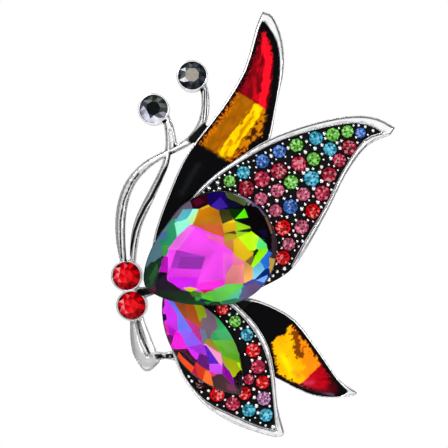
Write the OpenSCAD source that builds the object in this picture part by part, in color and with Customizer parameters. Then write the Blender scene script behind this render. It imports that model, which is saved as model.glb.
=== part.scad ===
// Butterfly brooch, upright as worn: +X to the wearer's left, +Z up, the face looks along -Y.
// The modules draw it flat on its back, x right, y up and z toward the viewer, and worn() stands
// it up. The origin is on the pin stem's axis, halfway between its hinge and its point.

/* [Wings] */
// Radius of the dome that every casting follows
dome_r = 250; // [200:10:400]
// Height of the back of the lower layer of castings above the pin stem's axis
back_z = 3.6; // [3.4:0.1:3.8]
// Thickness of the lower layer's floor, which carries the enamel
floor_t = 0.8; // [0.6:0.1:0.8]
// Height of the enamelled wings' rims above their floor
enamel_rim = 1.4; // [1.2:0.1:1.4]
// How far the enamel stops below the top of its rim
enamel_drop = 0.2; // [0.1:0.05:0.3]
// Thickness of the stone-set wings' floor
seat_floor_t = 1.2; // [1.1:0.1:1.3]
// Height of the stone-set wings' rims above their floor
stone_rim = 0.8; // [0.6:0.1:0.8]

/* [Pear stone] */
// Radius of the round end of the pear basket
pear_r = 9.35; // [9.2:0.05:9.4]
// How far the pear's point stands out past the round end
pear_tip = 5.1; // [4.6:0.1:5.4]
// Direction of the pear's point in degrees
pear_dir = 206.5; // [205:0.5:208]
// Height of the pear's girdle above the pin stem's axis
pear_girdle_z = 9.0; // [8.8:0.1:9.4]
// Height of the pear's crown above its girdle
pear_crown = 2.9; // [2.4:0.1:3.2]

/* [Navette stone] */
// Half the length of the navette's cup
navette_half_l = 10.7; // [10.2:0.1:10.9]
// Half the width of the navette's cup
navette_half_w = 4.75; // [4.5:0.05:4.8]
// Direction of the navette's lower point in degrees
navette_dir = -53; // [-55:0.5:-51]

/* [Small stones] */
// Radius of the head and antenna stones
chaton_r = 2.32; // [2.2:0.02:2.35]
// Radius of the head and antenna cups
cup_r = 2.62; // [2.55:0.01:2.7]
// Radius of the cast beads that hold the small stones
bead_r = 0.3; // [0.25:0.01:0.32]

/* [Pin] */
// Distance from the stem's hinge, and from its point, to the origin
stem_half = 12; // [11.5:0.1:12.2]
// Radius of the pin stem
stem_r = 0.46; // [0.4:0.01:0.5]
// Running clearance between a turning piece and what it turns on
running = 0.05; // [0.03:0.01:0.08]
// Width of the bar that carries the hinge and the catch
bar_w = 3; // [2.8:0.1:3.2]

/* [Hidden] */
$fn = 48;

// Heights above the pin stem's axis, measured where the dome is highest
floor_z = back_z + floor_t;            // top of the lower layer, on which the upper layer lies
enamel_rim_z = floor_z + enamel_rim;
enamel_z = enamel_rim_z - enamel_drop;
seat_z = floor_z + seat_floor_t;       // top of the upper layer's floor, where the stones sit
stone_rim_z = seat_z + stone_rim;
strand_z = enamel_rim_z;
prism_h = 14;                          // tall enough to pass through every layer

silver = [0.82, 0.83, 0.85];

// ---- Curves ----

// One point of a smooth curve from b to c, with a and d as its neighbours
function blend_point(a, b, c, d, t) =
    (2 * b + (c - a) * t + (2 * a - 5 * b + 4 * c - d) * t * t
        + (3 * b - a - 3 * c + d) * t * t * t) / 2;

// A smooth curve through the points, without its last point, so that curves join at corners
function curve(p, steps = 3) = [
    for (i = [0 : len(p) - 2], s = [0 : steps - 1])
        blend_point(p[max(i - 1, 0)], p[i], p[i + 1], p[min(i + 2, len(p) - 1)], s / steps)];

// Is the point q inside the closed outline?
function inside(q, outline) = len([
    for (i = [0 : len(outline) - 1])
        let (a = outline[i], b = outline[(i + 1) % len(outline)])
        if ((a.y > q.y) != (b.y > q.y) && q.x < a.x + (b.x - a.x) * (q.y - a.y) / (b.y - a.y))
            i]) % 2 == 1;

// ---- Outlines of the wings, as seen from the front ----

pear_c = [-4, -3.8];
navette_c = [-6.9, -19.65];

forewing_outline = concat(
    curve([[3.2, 36], [5, 35.1], [6.5, 31], [6.7, 26], [5.5, 20.3], [4.7, 15.5], [3.6, 11.8]]),
    curve([[3.6, 11.8], [-1, 9.2], [-7, 4.6]]),
    curve([[-7, 4.6], [-10, 0], [-13.2, -9]]),
    curve([[-13.2, -9], [-16.2, -9.2]]),
    curve([[-16.2, -9.2], [-15.3, -3.4], [-14.5, 0], [-12.3, 6], [-9.4, 12], [-3.9, 19.4], [0, 26],
        [2.1, 33.4], [3.2, 36]]));

forewing_field = concat(
    curve([[3.3, 34.2], [5.3, 30.8], [5.8, 26.5], [5.2, 20.5], [3.4, 12.2]]),
    curve([[3.4, 12.2], [-2.3, 9.2], [-7.5, 4.6], [-13, -0.8], [-14.6, -2.6]]),
    curve([[-14.6, -2.6], [-14, 0], [-11.8, 6], [-9, 12], [-3.3, 19.5], [0.5, 26], [2.6, 32.8],
        [3.3, 34.2]]));

// Lines across the forewing where one enamel meets the next, each from left to right
forewing_amber_top = [[-3, 23.6], [7.5, 16.9]];
forewing_amber_foot = [[-9, 14.4], [0, 9.1]];

tail_outline = concat(
    curve([[-2, -12.6], [0.3, -12.1], [4, -13.2], [8.6, -15.9], [12.6, -21.1], [15.9, -25.9],
        [19.1, -28.2]]),
    curve([[19.1, -28.2], [18.4, -28.8], [14.6, -29.1], [10.5, -28.3], [5, -25.4]]),
    curve([[5, -25.4], [3.2, -22.5], [0.6, -17.8], [-3.4, -13.6], [-2, -12.6]]));

tail_field = concat(
    curve([[1.3, -12.9], [4, -13.7], [8.2, -16.2], [12.3, -21.4], [15.5, -26], [17.3, -27.9]]),
    curve([[17.3, -27.9], [16.3, -28.7], [14, -28.8], [10.5, -28], [4.6, -25]]),
    curve([[4.6, -25], [3, -20.4], [-0.4, -15.8], [1.3, -12.9]]));

tail_amber_top = [[3.5, -21.2], [10, -15]];
tail_amber_foot = [[8.6, -27.6], [13.6, -22.7]];

pave_outline = concat(
    curve([[-9.6, 3.2], [-8, 5.3], [-5, 8.2], [0, 11.75], [4, 14.2], [9, 16.2], [14, 17.6],
        [18.6, 18.3], [22.3, 17.9], [25.4, 16.3]]),
    curve([[25.4, 16.3], [24.6, 15.1]]),
    curve([[24.6, 15.1], [20.6, 13.2], [17, 8.4], [14.4, 3.2], [10.4, -4], [7.4, -7.9],
        [3, -10.4]]),
    [[3, -10.4], pear_c]);

pave_field = concat(
    curve([[-9.6, 2.9], [-7.2, 5.4], [-4, 8.3], [0, 10.9], [4, 13.2], [8, 14.8], [13, 16.2],
        [18, 17.05], [21.2, 16.6], [23.2, 15.5]]),
    curve([[23.2, 15.5], [20.1, 14.2], [16.5, 9], [13.4, 2.8], [9.9, -3], [7.9, -6.8]]),
    [[7.9, -6.8], [8.5, -9.5], [3, -12], pear_c]);

lower_outline = concat(
    curve([[-2.3, -12.4], [-0.6, -13.9], [1.9, -16.5], [4.1, -20.4], [5.2, -25.5], [5.7, -30.5],
        [6.9, -35.1]]),
    curve([[6.9, -35.1], [5.6, -35.7], [2.4, -34.9], [-2.2, -33.1], [-7, -29.8], [-10.6, -24.9],
        [-12.1, -20.7]]),
    curve([[-12.1, -20.7], [-12.8, -16.6], [-12.6, -12.4], [-11.6, -10.6]]),
    [[-11.6, -10.6], pear_c]);

lower_field = concat(
    curve([[-3.1, -12.8], [-0.5, -15], [2.3, -18.6], [4, -22.7], [4.7, -27], [5.4, -34.5]]),
    curve([[5.4, -34.5], [2.5, -33.8], [-2, -31.8], [-6.4, -29.5], [-9.9, -25.4], [-11.8, -20.6]]),
    [[-11.8, -20.6], [-14, -18], [-14, -11], pear_c]);

// ---- Outline of the body: head, antennae and legs. Ribbons are x, y and width ----

outer_strand = [
    [-20.1, -6.6, 1.0], [-20.6, -3, 1.5], [-20.7, 0.5, 1.7], [-20.2, 4, 1.7], [-18.9, 7.2, 1.6],
    [-16.6, 9.8, 1.4], [-13.8, 11.6, 1.1], [-11.3, 12.8, 1.1], [-9, 14.2, 1.3], [-7.4, 16.3, 1.35],
    [-6.5, 19, 1.4], [-6.5, 22, 1.35], [-7, 23.6, 1.3]];
inner_strand = [
    [-18.6, -6.3, 1.0], [-18.3, -2.5, 1.3], [-17.5, 0.8, 1.45], [-15.9, 4.2, 1.4],
    [-14.3, 7.5, 1.2], [-13.1, 10.3, 1.1], [-12.65, 13.2, 1.0], [-12.8, 16, 0.95],
    [-13.2, 17.8, 1.0]];
antenna_fork = [[-12.9, 18.2, 0.9], [-12.1, 16.4, 0.75], [-11.65, 14.4, 0.7], [-11.3, 12.9, 0.8]];
bridge = [[-8.8, 14], [-7.1, 16.9], [-6.1, 16.6], [-5.3, 15.4], [-7.2, 13]];
head_link = [[-18.9, -11, 1.9], [-17, -11.3, 1.8], [-15.4, -10.9, 1.6], [-14.4, -10.4, 1.3]];
leg = concat(
    curve([[-19, -14.6], [-19.1, -18], [-18.7, -21.4], [-17.3, -24], [-15.9, -24.6],
        [-14.1, -23]]),
    curve([[-14.1, -23], [-14.7, -21.1], [-16.2, -17.3], [-17.1, -14.6]]));
leg_groove = [[-17.9, -16.4, 0.35], [-17.2, -19.3, 0.55], [-16.2, -21.9, 0.3]];
leg_bar = [[-15, -21.3], [-13.2, -21.4], [-10.8, -20.9], [-10.8, -22.9], [-13.2, -22.4],
    [-15, -22.9]];

// ---- Small stones: x, y, radius and kind, in rows that follow the upper rim ----

upper_stones = [
    [-2.4, 7.35, 1.0, "peridot"], [-0.1, 8.75, 1.1, "aqua"], [3.1, 10.65, 1.15, "sapphire"],
    [5.9, 12.3, 1.1, "sapphire"], [8.8, 13.35, 1.15, "peridot"], [12.05, 14.55, 1.15, "aqua"],
    [14.95, 15.15, 1.15, "peridot"], [17.4, 15.7, 1.05, "peridot"],
    [19.6, 15.5, 0.9, "sapphire"],
    [0.4, 6.1, 1.3, "ruby"], [3, 7.65, 1.35, "rose"], [5.8, 9, 1.35, "ruby"],
    [9.15, 10.2, 1.3, "rose"], [11.65, 11, 1.15, "peridot"], [14.4, 12.7, 1.15, "aqua"],
    [17.65, 13, 1.25, "ruby"],
    [2.8, 4.4, 1.1, "light_rose"], [5.6, 5.75, 1.15, "light_rose"],
    [7.85, 7.15, 1.2, "peridot"], [11.3, 7.75, 1.3, "aqua"], [14.25, 8.4, 1.3, "ruby"],
    [16, 10.85, 1.15, "rose"],
    [5.3, 2.4, 1.05, "light_rose"], [7.75, 3.1, 1.25, "sapphire"], [9.9, 5.15, 1.15, "light_rose"],
    [13.1, 5.3, 1.3, "rose"],
    [6.5, -0.45, 1.3, "siam"], [9.6, -0.3, 1.2, "light_rose"], [11.45, 2.3, 1.25, "siam"],
    [7.5, -3.2, 1.1, "light_rose"], [6.45, -5.45, 1.2, "siam"]];

lower_stones = [
    [-3.6, -14, 1.0, "siam"], [-1.5, -16.1, 1.0, "peridot"], [0.5, -18.4, 1.05, "aqua"],
    [1.55, -21, 1.2, "siam"], [2.35, -23.8, 1.2, "rose"], [0.85, -26, 0.9, "rose"],
    [3.15, -26.5, 1.15, "siam"], [0.15, -28.4, 1.15, "siam"], [3.35, -29.3, 1.2, "lilac"],
    [0.85, -31.35, 1.15, "aqua"], [3.75, -32.2, 1.15, "aqua"], [-1.85, -30.2, 1.2, "rose"],
    [-4.5, -28.6, 1.25, "siam"], [-7.3, -26.8, 0.9, "garnet"]];

// Beads that fill the corners where there is no pair of stones to hold
upper_corner_beads = [[21.6, 15.8], [22.3, 15.6], [-5.8, 6.1], [-4.4, 7], [-4.1, 6], [6.7, -7.2],
    [5.5, -7.7], [4.8, -8.4], [4.1, -9]];
lower_corner_beads = [[4.9, -33.9], [-9.2, -25.3], [-8.7, -26.1], [-2.5, -14.9]];

// ---- Beads: two beside the gap between each pair of neighbouring stones ----

neighbour_gap = 1.4;       // stones whose rims are nearer than this are neighbours
bead_gap = 0.09;           // space left between a bead and a stone's girdle

function bead_pair(a, b) =
    let (
        mid = ([a.x, a.y] + [b.x, b.y]) / 2,
        run = [b.x - a.x, b.y - a.y],
        far = norm(run),
        reach = (a[2] + b[2]) / 2 + bead_r + bead_gap,
        side = sqrt(max(reach * reach - far * far / 4, 0)) * [-run.y, run.x] / far)
    [mid + side, mid - side];

function bead_choices(stones) = [
    for (i = [0 : len(stones) - 2], j = [i + 1 : len(stones) - 1])
        let (far = norm([stones[j].x - stones[i].x, stones[j].y - stones[i].y]))
        if (far < stones[i][2] + stones[j][2] + neighbour_gap)
            each bead_pair(stones[i], stones[j])];

function clear_of_stones(q, stones) =
    min([for (s = stones) norm([s.x, s.y] - q) - s[2]]) > bead_r + bead_gap * 0.9;

function clear_of_beads(q, kept) =
    len(kept) == 0 || min([for (k = kept) norm(k - q)]) > 2 * bead_r + bead_gap;

function clear_of_rim(q, field) = len([
    for (a = [0 : 30 : 330]) if (!inside(q + (bead_r + bead_gap) * [cos(a), sin(a)], field)) a]) == 0;

function keep_beads(choices, stones, field, kept = [], i = 0) =
    i == len(choices) ? kept
    : keep_beads(choices, stones, field,
        clear_of_stones(choices[i], stones) && clear_of_beads(choices[i], kept)
            && clear_of_rim(choices[i], field) ? concat(kept, [choices[i]]) : kept,
        i + 1);

function beads(stones, corners, field) =
    keep_beads(concat(corners, bead_choices(stones)), stones, field);

// ---- Placing and layering ----

// Stands the flat drawing up as worn
module worn() rotate([90, 0, 0]) children();

// The dome at a given height
module dome(z) translate([0, 0, -dome_r]) sphere(dome_r + z, $fn = 360);

// Fills an outline between two heights of the dome
module plate(z0, z1) difference() {
    intersection() {
        linear_extrude(prism_h) children();
        dome(z1);
    }
    dome(z0);
}

// Everything over an outline above one height of the dome
module above(z) difference() {
    linear_extrude(prism_h) children();
    dome(z);
}

// Carries what stands at the dome's top to another point of the dome, leaning with it
module place(x, y) {
    turn = atan2(y, x);
    lean = asin(norm([x, y]) / (dome_r + seat_z));
    translate([0, 0, -dome_r]) rotate([0, 0, turn]) rotate([0, lean, 0]) rotate([0, 0, -turn])
        translate([0, 0, dome_r]) children();
}

function ribbon_side(c, side) = [
    for (i = [0 : len(c) - 1])
        let (
            run = c[min(i + 1, len(c) - 1)] - c[max(i - 1, 0)],
            across = [-run.y, run.x] / norm([run.x, run.y]))
        [c[i].x, c[i].y] + side * across * c[i][2] / 2];

// A band of changing width along a smooth curve
module ribbon(points, steps = 3) {
    c = concat(curve(points, steps), [points[len(points) - 1]]);
    right = ribbon_side(c, -1);
    polygon(concat(ribbon_side(c, 1), [for (i = [len(right) - 1 : -1 : 0]) right[i]]));
}

// ---- The two large stones ----

pear_tip_spread = 60;    // degrees from the point over which the side bulges outward
pear_tip_round = 5;      // degrees by which the point is blunted
pear_side_power = 1.7;   // how full the pear's sides are

function pear_reach(a) =
    let (
        off = abs((a - pear_dir + 900) % 360 - 180),
        share = sqrt(off * off + pear_tip_round * pear_tip_round) / pear_tip_spread)
    pear_r + pear_tip * pow(max(1 - share, 0), pear_side_power);

function pear_points(scale, count = 90) = [
    for (i = [0 : count - 1])
        let (a = pear_dir + 360 * i / count)
        pear_c + scale * pear_reach(a) * [cos(a), sin(a)]];

function navette_points(scale, steps = 14) =
    let (
        r = (navette_half_l * navette_half_l / navette_half_w + navette_half_w) / 2,
        sweep = asin(navette_half_l / r))
    [for (side = [1, -1], i = [0 : steps - 1])
        let (a = side * sweep * (1 - 2 * i / steps))
        scale * [side * r * sin(side * a), side * (r * cos(a) - r + navette_half_w)]];

// Shares of a basket's outline at its foot and its stone's girdle
foot_share = 0.72;
foot_hole_share = 0.6;
girdle_share = 0.965;
lip_share = 0.978;

// A solid whose section is the outline at each stated height, scaled about a centre
module loft(outline, centre, rings) {
    n = len(outline);
    last = len(rings) - 1;
    polyhedron(
        points = [for (ring = rings, p = outline)
            [each centre + ring[1] * (p - centre), ring[0]]],
        faces = concat(
            [[for (i = [0 : n - 1]) i]],
            [for (k = [0 : last - 1], i = [0 : n - 1])
                [k * n + i, (k + 1) * n + i, (k + 1) * n + (i + 1) % n, k * n + (i + 1) % n]],
            [[for (i = [n - 1 : -1 : 0]) last * n + i]]));
}

// A thin slice of a stone
module slice(z, outline) translate([0, 0, z]) linear_extrude(0.02) polygon(outline);

module pear_basket() color(silver) worn() difference() {
    loft(pear_points(1), pear_c, [[2, foot_share], [seat_z + 0.2, foot_share],
        [pear_girdle_z - 0.2, 1], [pear_girdle_z + 0.35, 1]]);
    loft(pear_points(1), pear_c, [[1, foot_hole_share], [seat_z + 0.2, foot_hole_share],
        [pear_girdle_z, lip_share], [pear_girdle_z + 1, lip_share]]);
    dome(floor_z);
}

module pear_crystal() color([0.85, 0.2, 0.75]) worn() hull() {
    slice(floor_z + 0.6, pear_points(0.03, 12));
    slice(pear_girdle_z - 2, pear_points(0.58, 12));
    slice(pear_girdle_z, pear_points(girdle_share, 48));
    slice(pear_girdle_z + 0.3, pear_points(girdle_share, 48));
    slice(pear_girdle_z + 0.7 * pear_crown, pear_points(0.8, 24));
    slice(pear_girdle_z + pear_crown, pear_points(0.62, 12));
}

navette_foot_z = floor_z + 0.5;
navette_girdle_z = navette_foot_z + 2.1;

module navette_frame() place(navette_c.x, navette_c.y) rotate([0, 0, navette_dir]) children();

module navette_cup() color(silver) worn() navette_frame() difference() {
    loft(navette_points(1), [0, 0], [[navette_foot_z, foot_share], [seat_z, foot_share],
        [navette_girdle_z - 0.1, 1], [navette_girdle_z + 0.3, 1]]);
    loft(navette_points(1), [0, 0], [[navette_foot_z - 1, foot_hole_share],
        [seat_z, foot_hole_share], [navette_girdle_z, lip_share],
        [navette_girdle_z + 1, lip_share]]);
}

module navette_crystal() color([0.7, 0.25, 0.8]) worn() navette_frame() hull() {
    slice(navette_foot_z + 0.1, navette_points(0.1, 3));
    slice(navette_girdle_z, navette_points(girdle_share));
    slice(navette_girdle_z + 0.2, navette_points(girdle_share));
    slice(navette_girdle_z + 1, navette_points(0.8, 6));
    slice(navette_girdle_z + 1.6, navette_points(0.6, 3));
}

// ---- Small round stones ----

culet_share = 0.15;
table_share = 0.55;
seat_gap = 0.03;                       // space left under a stone in its seat
girdle_h = 0.12;                       // height of a small stone's girdle
pave_depth = 0.85;
pave_crown = 0.5;

// A faceted chaton as a turned solid with its girdle's lower edge at z
module chaton(z, r, depth, crown) translate([0, 0, z]) rotate_extrude() polygon([
    [0, -depth], [culet_share * r, -depth], [r, 0], [r, girdle_h],
    [table_share * r, girdle_h + crown], [0, girdle_h + crown]]);

// The hollow that a cup's chaton sits in, with a straight wall around its girdle
module seat(z, r, depth) {
    translate([0, 0, z - depth - seat_gap])
        cylinder(h = depth + seat_gap, r1 = culet_share * r + seat_gap, r2 = r + seat_gap);
    translate([0, 0, z - seat_gap]) cylinder(h = girdle_h + 2 * seat_gap, r = r + seat_gap);
}

module pave_stones(stones, kind) worn() for (s = stones) if (s[3] == kind)
    place(s.x, s.y) chaton(seat_z, s[2], pave_depth, pave_crown);

// The drilled holes that the pave stones sit in
module pave_seats(stones) for (s = stones)
    place(s.x, s.y) translate([0, 0, seat_z - pave_depth - seat_gap])
        cylinder(h = pave_depth + 3 * seat_gap, r = s[2] + seat_gap);

// Each bead is a short post with a rounded top
module pave_beads(points) for (p = points)
    place(p.x, p.y) translate([0, 0, seat_z]) rotate_extrude() polygon([
        [0, -bead_r], [bead_r, -bead_r], [bead_r, 0.3 * bead_r], [0.85 * bead_r, 0.8 * bead_r],
        [0.45 * bead_r, 1.15 * bead_r], [0, 1.25 * bead_r]]);

// ---- Enamelled wings, on the lower layer ----

pad_r = 1.8;
pad_x = 8.5;
bar_t = 0.8;
bar_z = 2.2;                           // back of the bar, clear of the stem
bar_front_z = bar_z + bar_t;

// A solder pad between the bar and the back of a casting
module pad(x, top_z) translate([x, 0, bar_front_z]) cylinder(h = top_z - bar_front_z, r = pad_r);

root_share = 0.9;                      // the forewing's root, under the pear, as a share of it
hidden_rim_share = 0.95;               // inside this share of the pear a rim is left off

module forewing_casting() color(silver) worn() difference() {
    union() {
        plate(back_z, enamel_rim_z) {
            polygon(forewing_outline);
            polygon(pear_points(root_share));
        }
        pad(-pad_x, back_z + floor_t / 2);
    }
    above(floor_z) polygon(forewing_field);
    above(floor_z) polygon(pave_outline);
    above(floor_z) polygon(pear_points(hidden_rim_share));
}

// The part of the plane on the left of a line as it runs from its first point to its second
module left_of(line, size = 60) {
    run = line[1] - line[0];
    translate(line[0]) rotate(atan2(run.y, run.x)) translate([-size, 0]) square([2 * size, size]);
}

module forewing_pool() difference() {
    polygon(forewing_field);
    polygon(pave_outline);
}

module forewing_enamel_red() color([0.75, 0.03, 0.08]) worn() plate(floor_z, enamel_z)
    intersection() {
        forewing_pool();
        left_of(forewing_amber_top);
    }

module forewing_enamel_amber() color([0.9, 0.6, 0.05]) worn() plate(floor_z, enamel_z)
    difference() {
        intersection() {
            forewing_pool();
            left_of(forewing_amber_foot);
        }
        left_of(forewing_amber_top);
    }

module forewing_enamel_black() color([0.03, 0.03, 0.03]) worn() plate(floor_z, enamel_z)
    difference() {
        forewing_pool();
        left_of(forewing_amber_foot);
    }

module tail_casting() color(silver) worn() difference() {
    plate(back_z, enamel_rim_z) polygon(tail_outline);
    above(floor_z) polygon(tail_field);
    above(floor_z) polygon(lower_outline);
    above(floor_z) polygon(pear_points(hidden_rim_share));
}

module tail_pool() difference() {
    polygon(tail_field);
    polygon(lower_outline);
}

module tail_enamel_black() color([0.03, 0.03, 0.03]) worn() plate(floor_z, enamel_z)
    intersection() {
        tail_pool();
        left_of(tail_amber_top);
    }

module tail_enamel_amber() color([0.95, 0.65, 0.05]) worn() plate(floor_z, enamel_z)
    difference() {
        intersection() {
            tail_pool();
            left_of(tail_amber_foot);
        }
        left_of(tail_amber_top);
    }

module tail_enamel_red() color([0.65, 0.02, 0.06]) worn() plate(floor_z, enamel_z)
    difference() {
        tail_pool();
        left_of(tail_amber_foot);
    }

// ---- Stone-set wings, on the upper layer ----

module pave_wing_casting() color(silver) worn() difference() {
    union() {
        difference() {
            union() {
                plate(floor_z, stone_rim_z) polygon(pave_outline);
                pad(pad_x, floor_z + seat_floor_t / 3);
            }
            above(seat_z) polygon(pave_field);
        }
        pave_beads(beads(upper_stones, upper_corner_beads, pave_field));
    }
    linear_extrude(prism_h) polygon(pear_points(foot_share));
    pave_seats(upper_stones);
}

module lower_wing_casting() color(silver) worn() difference() {
    union() {
        difference() {
            plate(floor_z, stone_rim_z) polygon(lower_outline);
            above(seat_z) polygon(lower_field);
        }
        pave_beads(beads(lower_stones, lower_corner_beads, lower_field));
    }
    linear_extrude(prism_h) polygon(pear_points(foot_share));
    navette_frame() translate([0, 0, navette_foot_z]) linear_extrude(prism_h)
        polygon(navette_points(foot_share + 0.01));
    pave_seats(lower_stones);
}

module upper_peridots() color([0.45, 0.8, 0.25]) pave_stones(upper_stones, "peridot");
module upper_aquas() color([0.35, 0.8, 0.9]) pave_stones(upper_stones, "aqua");
module upper_sapphires() color([0.2, 0.35, 0.8]) pave_stones(upper_stones, "sapphire");
module upper_roses() color([0.9, 0.2, 0.35]) pave_stones(upper_stones, "rose");
module upper_rubies() color([0.65, 0.08, 0.2]) pave_stones(upper_stones, "ruby");
module upper_light_roses() color([0.9, 0.5, 0.6]) pave_stones(upper_stones, "light_rose");
module upper_siams() color([0.85, 0.02, 0.03]) pave_stones(upper_stones, "siam");
module lower_peridots() color([0.45, 0.8, 0.25]) pave_stones(lower_stones, "peridot");
module lower_aquas() color([0.35, 0.8, 0.9]) pave_stones(lower_stones, "aqua");
module lower_roses() color([0.9, 0.2, 0.35]) pave_stones(lower_stones, "rose");
module lower_siams() color([0.85, 0.02, 0.03]) pave_stones(lower_stones, "siam");
module lower_lilacs() color([0.75, 0.5, 0.7]) pave_stones(lower_stones, "lilac");
module lower_garnets() color([0.3, 0.02, 0.06]) pave_stones(lower_stones, "garnet");

// ---- Body: head, antennae, strands and legs in one casting ----

head_upper = [-19.6, -8.5];
head_lower = [-18.75, -13.45];
antenna_left = [-15.1, 19.4];
antenna_right = [-8.65, 25];
cups = [head_upper, head_lower, antenna_left, antenna_right];

cup_top = 0.35;                        // how far a cup stands above the strands
cup_lip = 0.1;                         // how far its lip stands above the foot of the stone's girdle
chaton_z = strand_z + cup_top - cup_lip;
chaton_depth = 1.5;
chaton_crown = 0.95;
groove_z = strand_z - 0.6;

module body_shape() {
    ribbon(outer_strand);
    ribbon(inner_strand);
    ribbon(antenna_fork);
    ribbon(head_link);
    polygon(leg);
    difference() {
        polygon(bridge);
        polygon(forewing_outline);
    }
    difference() {
        polygon(leg_bar);
        polygon(lower_outline);
    }
}

module body_casting() color(silver) worn() difference() {
    union() {
        plate(floor_z, strand_z) body_shape();
        for (c = cups) place(c.x, c.y) translate([0, 0, floor_z])
            cylinder(h = strand_z + cup_top - floor_z, r = cup_r);
    }
    for (c = cups) place(c.x, c.y) seat(chaton_z, chaton_r, chaton_depth);
    above(groove_z) ribbon(leg_groove);
}

module cup_stone(c) worn() place(c.x, c.y)
    chaton(chaton_z, chaton_r, chaton_depth, chaton_crown);
module head_stone_upper() color([0.9, 0.02, 0.03]) cup_stone(head_upper);
module head_stone_lower() color([0.9, 0.02, 0.03]) cup_stone(head_lower);
module antenna_stone_left() color([0.2, 0.22, 0.24]) cup_stone(antenna_left);
module antenna_stone_right() color([0.2, 0.22, 0.24]) cup_stone(antenna_right);

// ---- Pin, with z = 0 on the stem's axis and the garment on its -z side ----

ear_r = 1.3;
ear_t = 0.4;
ear_gap = 1;                           // half the space between the hinge's two ears
ear_leg_w = 2.2;
bar_overhang = 0.8;                    // how far the bar runs on past the catch
eye_r = 1.1;
rivet_r = 0.4;
rivet_fit = 0.01;
rivet_head_r = 0.8;
rivet_head_t = 0.3;

housing_x = 7.6;
housing_l = 2.2;
housing_r = 2.1;
housing_bore = 1.55;
housing_slot = 1.6;
foot_w = 2.4;                          // the catch's foot on the bar
foot_h = 0.9;
flange_t = 0.35;
flange_r = 1.95;
lock_bore = 0.8;
lock_slot = 1.3;
lever_dir = -60;                       // from straight back, so that it swings clear of the bar
lever_reach = 3.3;
lever_w = 0.9;
lever_root = 0.4;                      // how far the lever runs into its flange
collar_l = 1.2;                        // the collar at the foot of the stem, which cloth stops at
collar_r = 0.7;
shaft_x = -stem_half + 0.6;
taper_x = 6.4;                         // where the stem starts to taper to its point
point_r = 0.06;

// A round bar across the hinge, centred on its axis
module across(r, l) rotate([90, 0, 0]) cylinder(h = l, r = r, center = true);

module pin_bar() color([0.72, 0.73, 0.75]) worn() {
    translate([-stem_half - ear_r, -bar_w / 2, bar_z])
        cube([stem_half + ear_r + housing_x + housing_l + bar_overhang, bar_w, bar_t]);
    for (side = [-1, 1]) translate([-stem_half, side * (ear_gap + ear_t / 2) + ear_t / 2, 0])
        rotate([90, 0, 0]) linear_extrude(ear_t) difference() {
            union() {
                circle(ear_r);
                translate([-ear_leg_w / 2, 0]) square([ear_leg_w, bar_z + bar_t / 2]);
            }
            circle(rivet_r + rivet_fit);
        }
}

module hinge_rivet() color([0.62, 0.63, 0.65]) worn() translate([-stem_half, 0, 0]) {
    across(rivet_r, 2 * (ear_gap + ear_t) + rivet_head_t);
    for (side = [-1, 1]) translate([0, side * (ear_gap + ear_t + rivet_head_t / 2), 0])
        across(rivet_head_r, rivet_head_t);
}

module pin_stem() color([0.78, 0.79, 0.8]) worn() difference() {
    union() {
        translate([-stem_half, 0, 0]) across(eye_r, 2 * (ear_gap - running));
        translate([shaft_x, 0, 0]) rotate([0, 90, 0]) cylinder(h = collar_l, r = collar_r);
        translate([shaft_x, 0, 0]) rotate([0, 90, 0]) cylinder(h = taper_x - shaft_x, r = stem_r);
        translate([taper_x, 0, 0]) rotate([0, 90, 0])
            cylinder(h = stem_half - taper_x, r1 = stem_r, r2 = point_r);
    }
    translate([-stem_half, 0, 0]) across(rivet_r + running, 2 * ear_gap);
}

// A section of the catch, with its first axis pointing back and its second up, drawn out along x
module catch_section(x, l) translate([x, 0, 0]) rotate([0, 90, 0]) linear_extrude(l) children();

module catch_housing() color([0.75, 0.76, 0.78]) worn() catch_section(housing_x, housing_l)
    difference() {
        union() {
            circle(housing_r);
            translate([-bar_z, -foot_w / 2]) square([foot_h, foot_w]);
        }
        circle(housing_bore);
        translate([0, -housing_slot / 2]) square([housing_r + 1, housing_slot]);
    }

module slotted_disc(r) difference() {
    circle(r);
    circle(lock_bore);
    translate([0, -lock_slot / 2]) square([r + 1, lock_slot]);
}

module catch_lock() color([0.8, 0.8, 0.82]) worn() {
    left_x = housing_x - running - flange_t;
    right_x = housing_x + housing_l + running;
    catch_section(left_x, flange_t) slotted_disc(flange_r);
    catch_section(left_x + flange_t, right_x - left_x - flange_t)
        slotted_disc(housing_bore - running);
    catch_section(right_x, flange_t) {
        slotted_disc(flange_r);
        rotate(lever_dir) translate([flange_r - lever_root, -lever_w / 2])
            square([lever_reach - flange_r + lever_root, lever_w]);
    }
}

forewing_casting();
forewing_enamel_black();
forewing_enamel_amber();
forewing_enamel_red();
tail_casting();
tail_enamel_black();
tail_enamel_amber();
tail_enamel_red();
pave_wing_casting();
upper_peridots();
upper_aquas();
upper_sapphires();
upper_roses();
upper_rubies();
upper_light_roses();
upper_siams();
lower_wing_casting();
lower_peridots();
lower_aquas();
lower_roses();
lower_siams();
lower_lilacs();
lower_garnets();
body_casting();
head_stone_upper();
head_stone_lower();
antenna_stone_left();
antenna_stone_right();
pear_basket();
pear_crystal();
navette_cup();
navette_crystal();
pin_bar();
hinge_rivet();
pin_stem();
catch_housing();
catch_lock();
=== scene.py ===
"""Looks of the butterfly brooch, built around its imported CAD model.

Lengths in this script are in millimetres unless a name says otherwise. A place on the face is
(x, z), as in the frame, and a height is measured outward from the dome that the castings follow.
"""

import math
import random
from dataclasses import dataclass
from itertools import product

import bpy
import numpy as np
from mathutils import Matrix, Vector, geometry, noise
from mathutils.bvhtree import BVHTree
from mathutils.kdtree import KDTree


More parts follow.
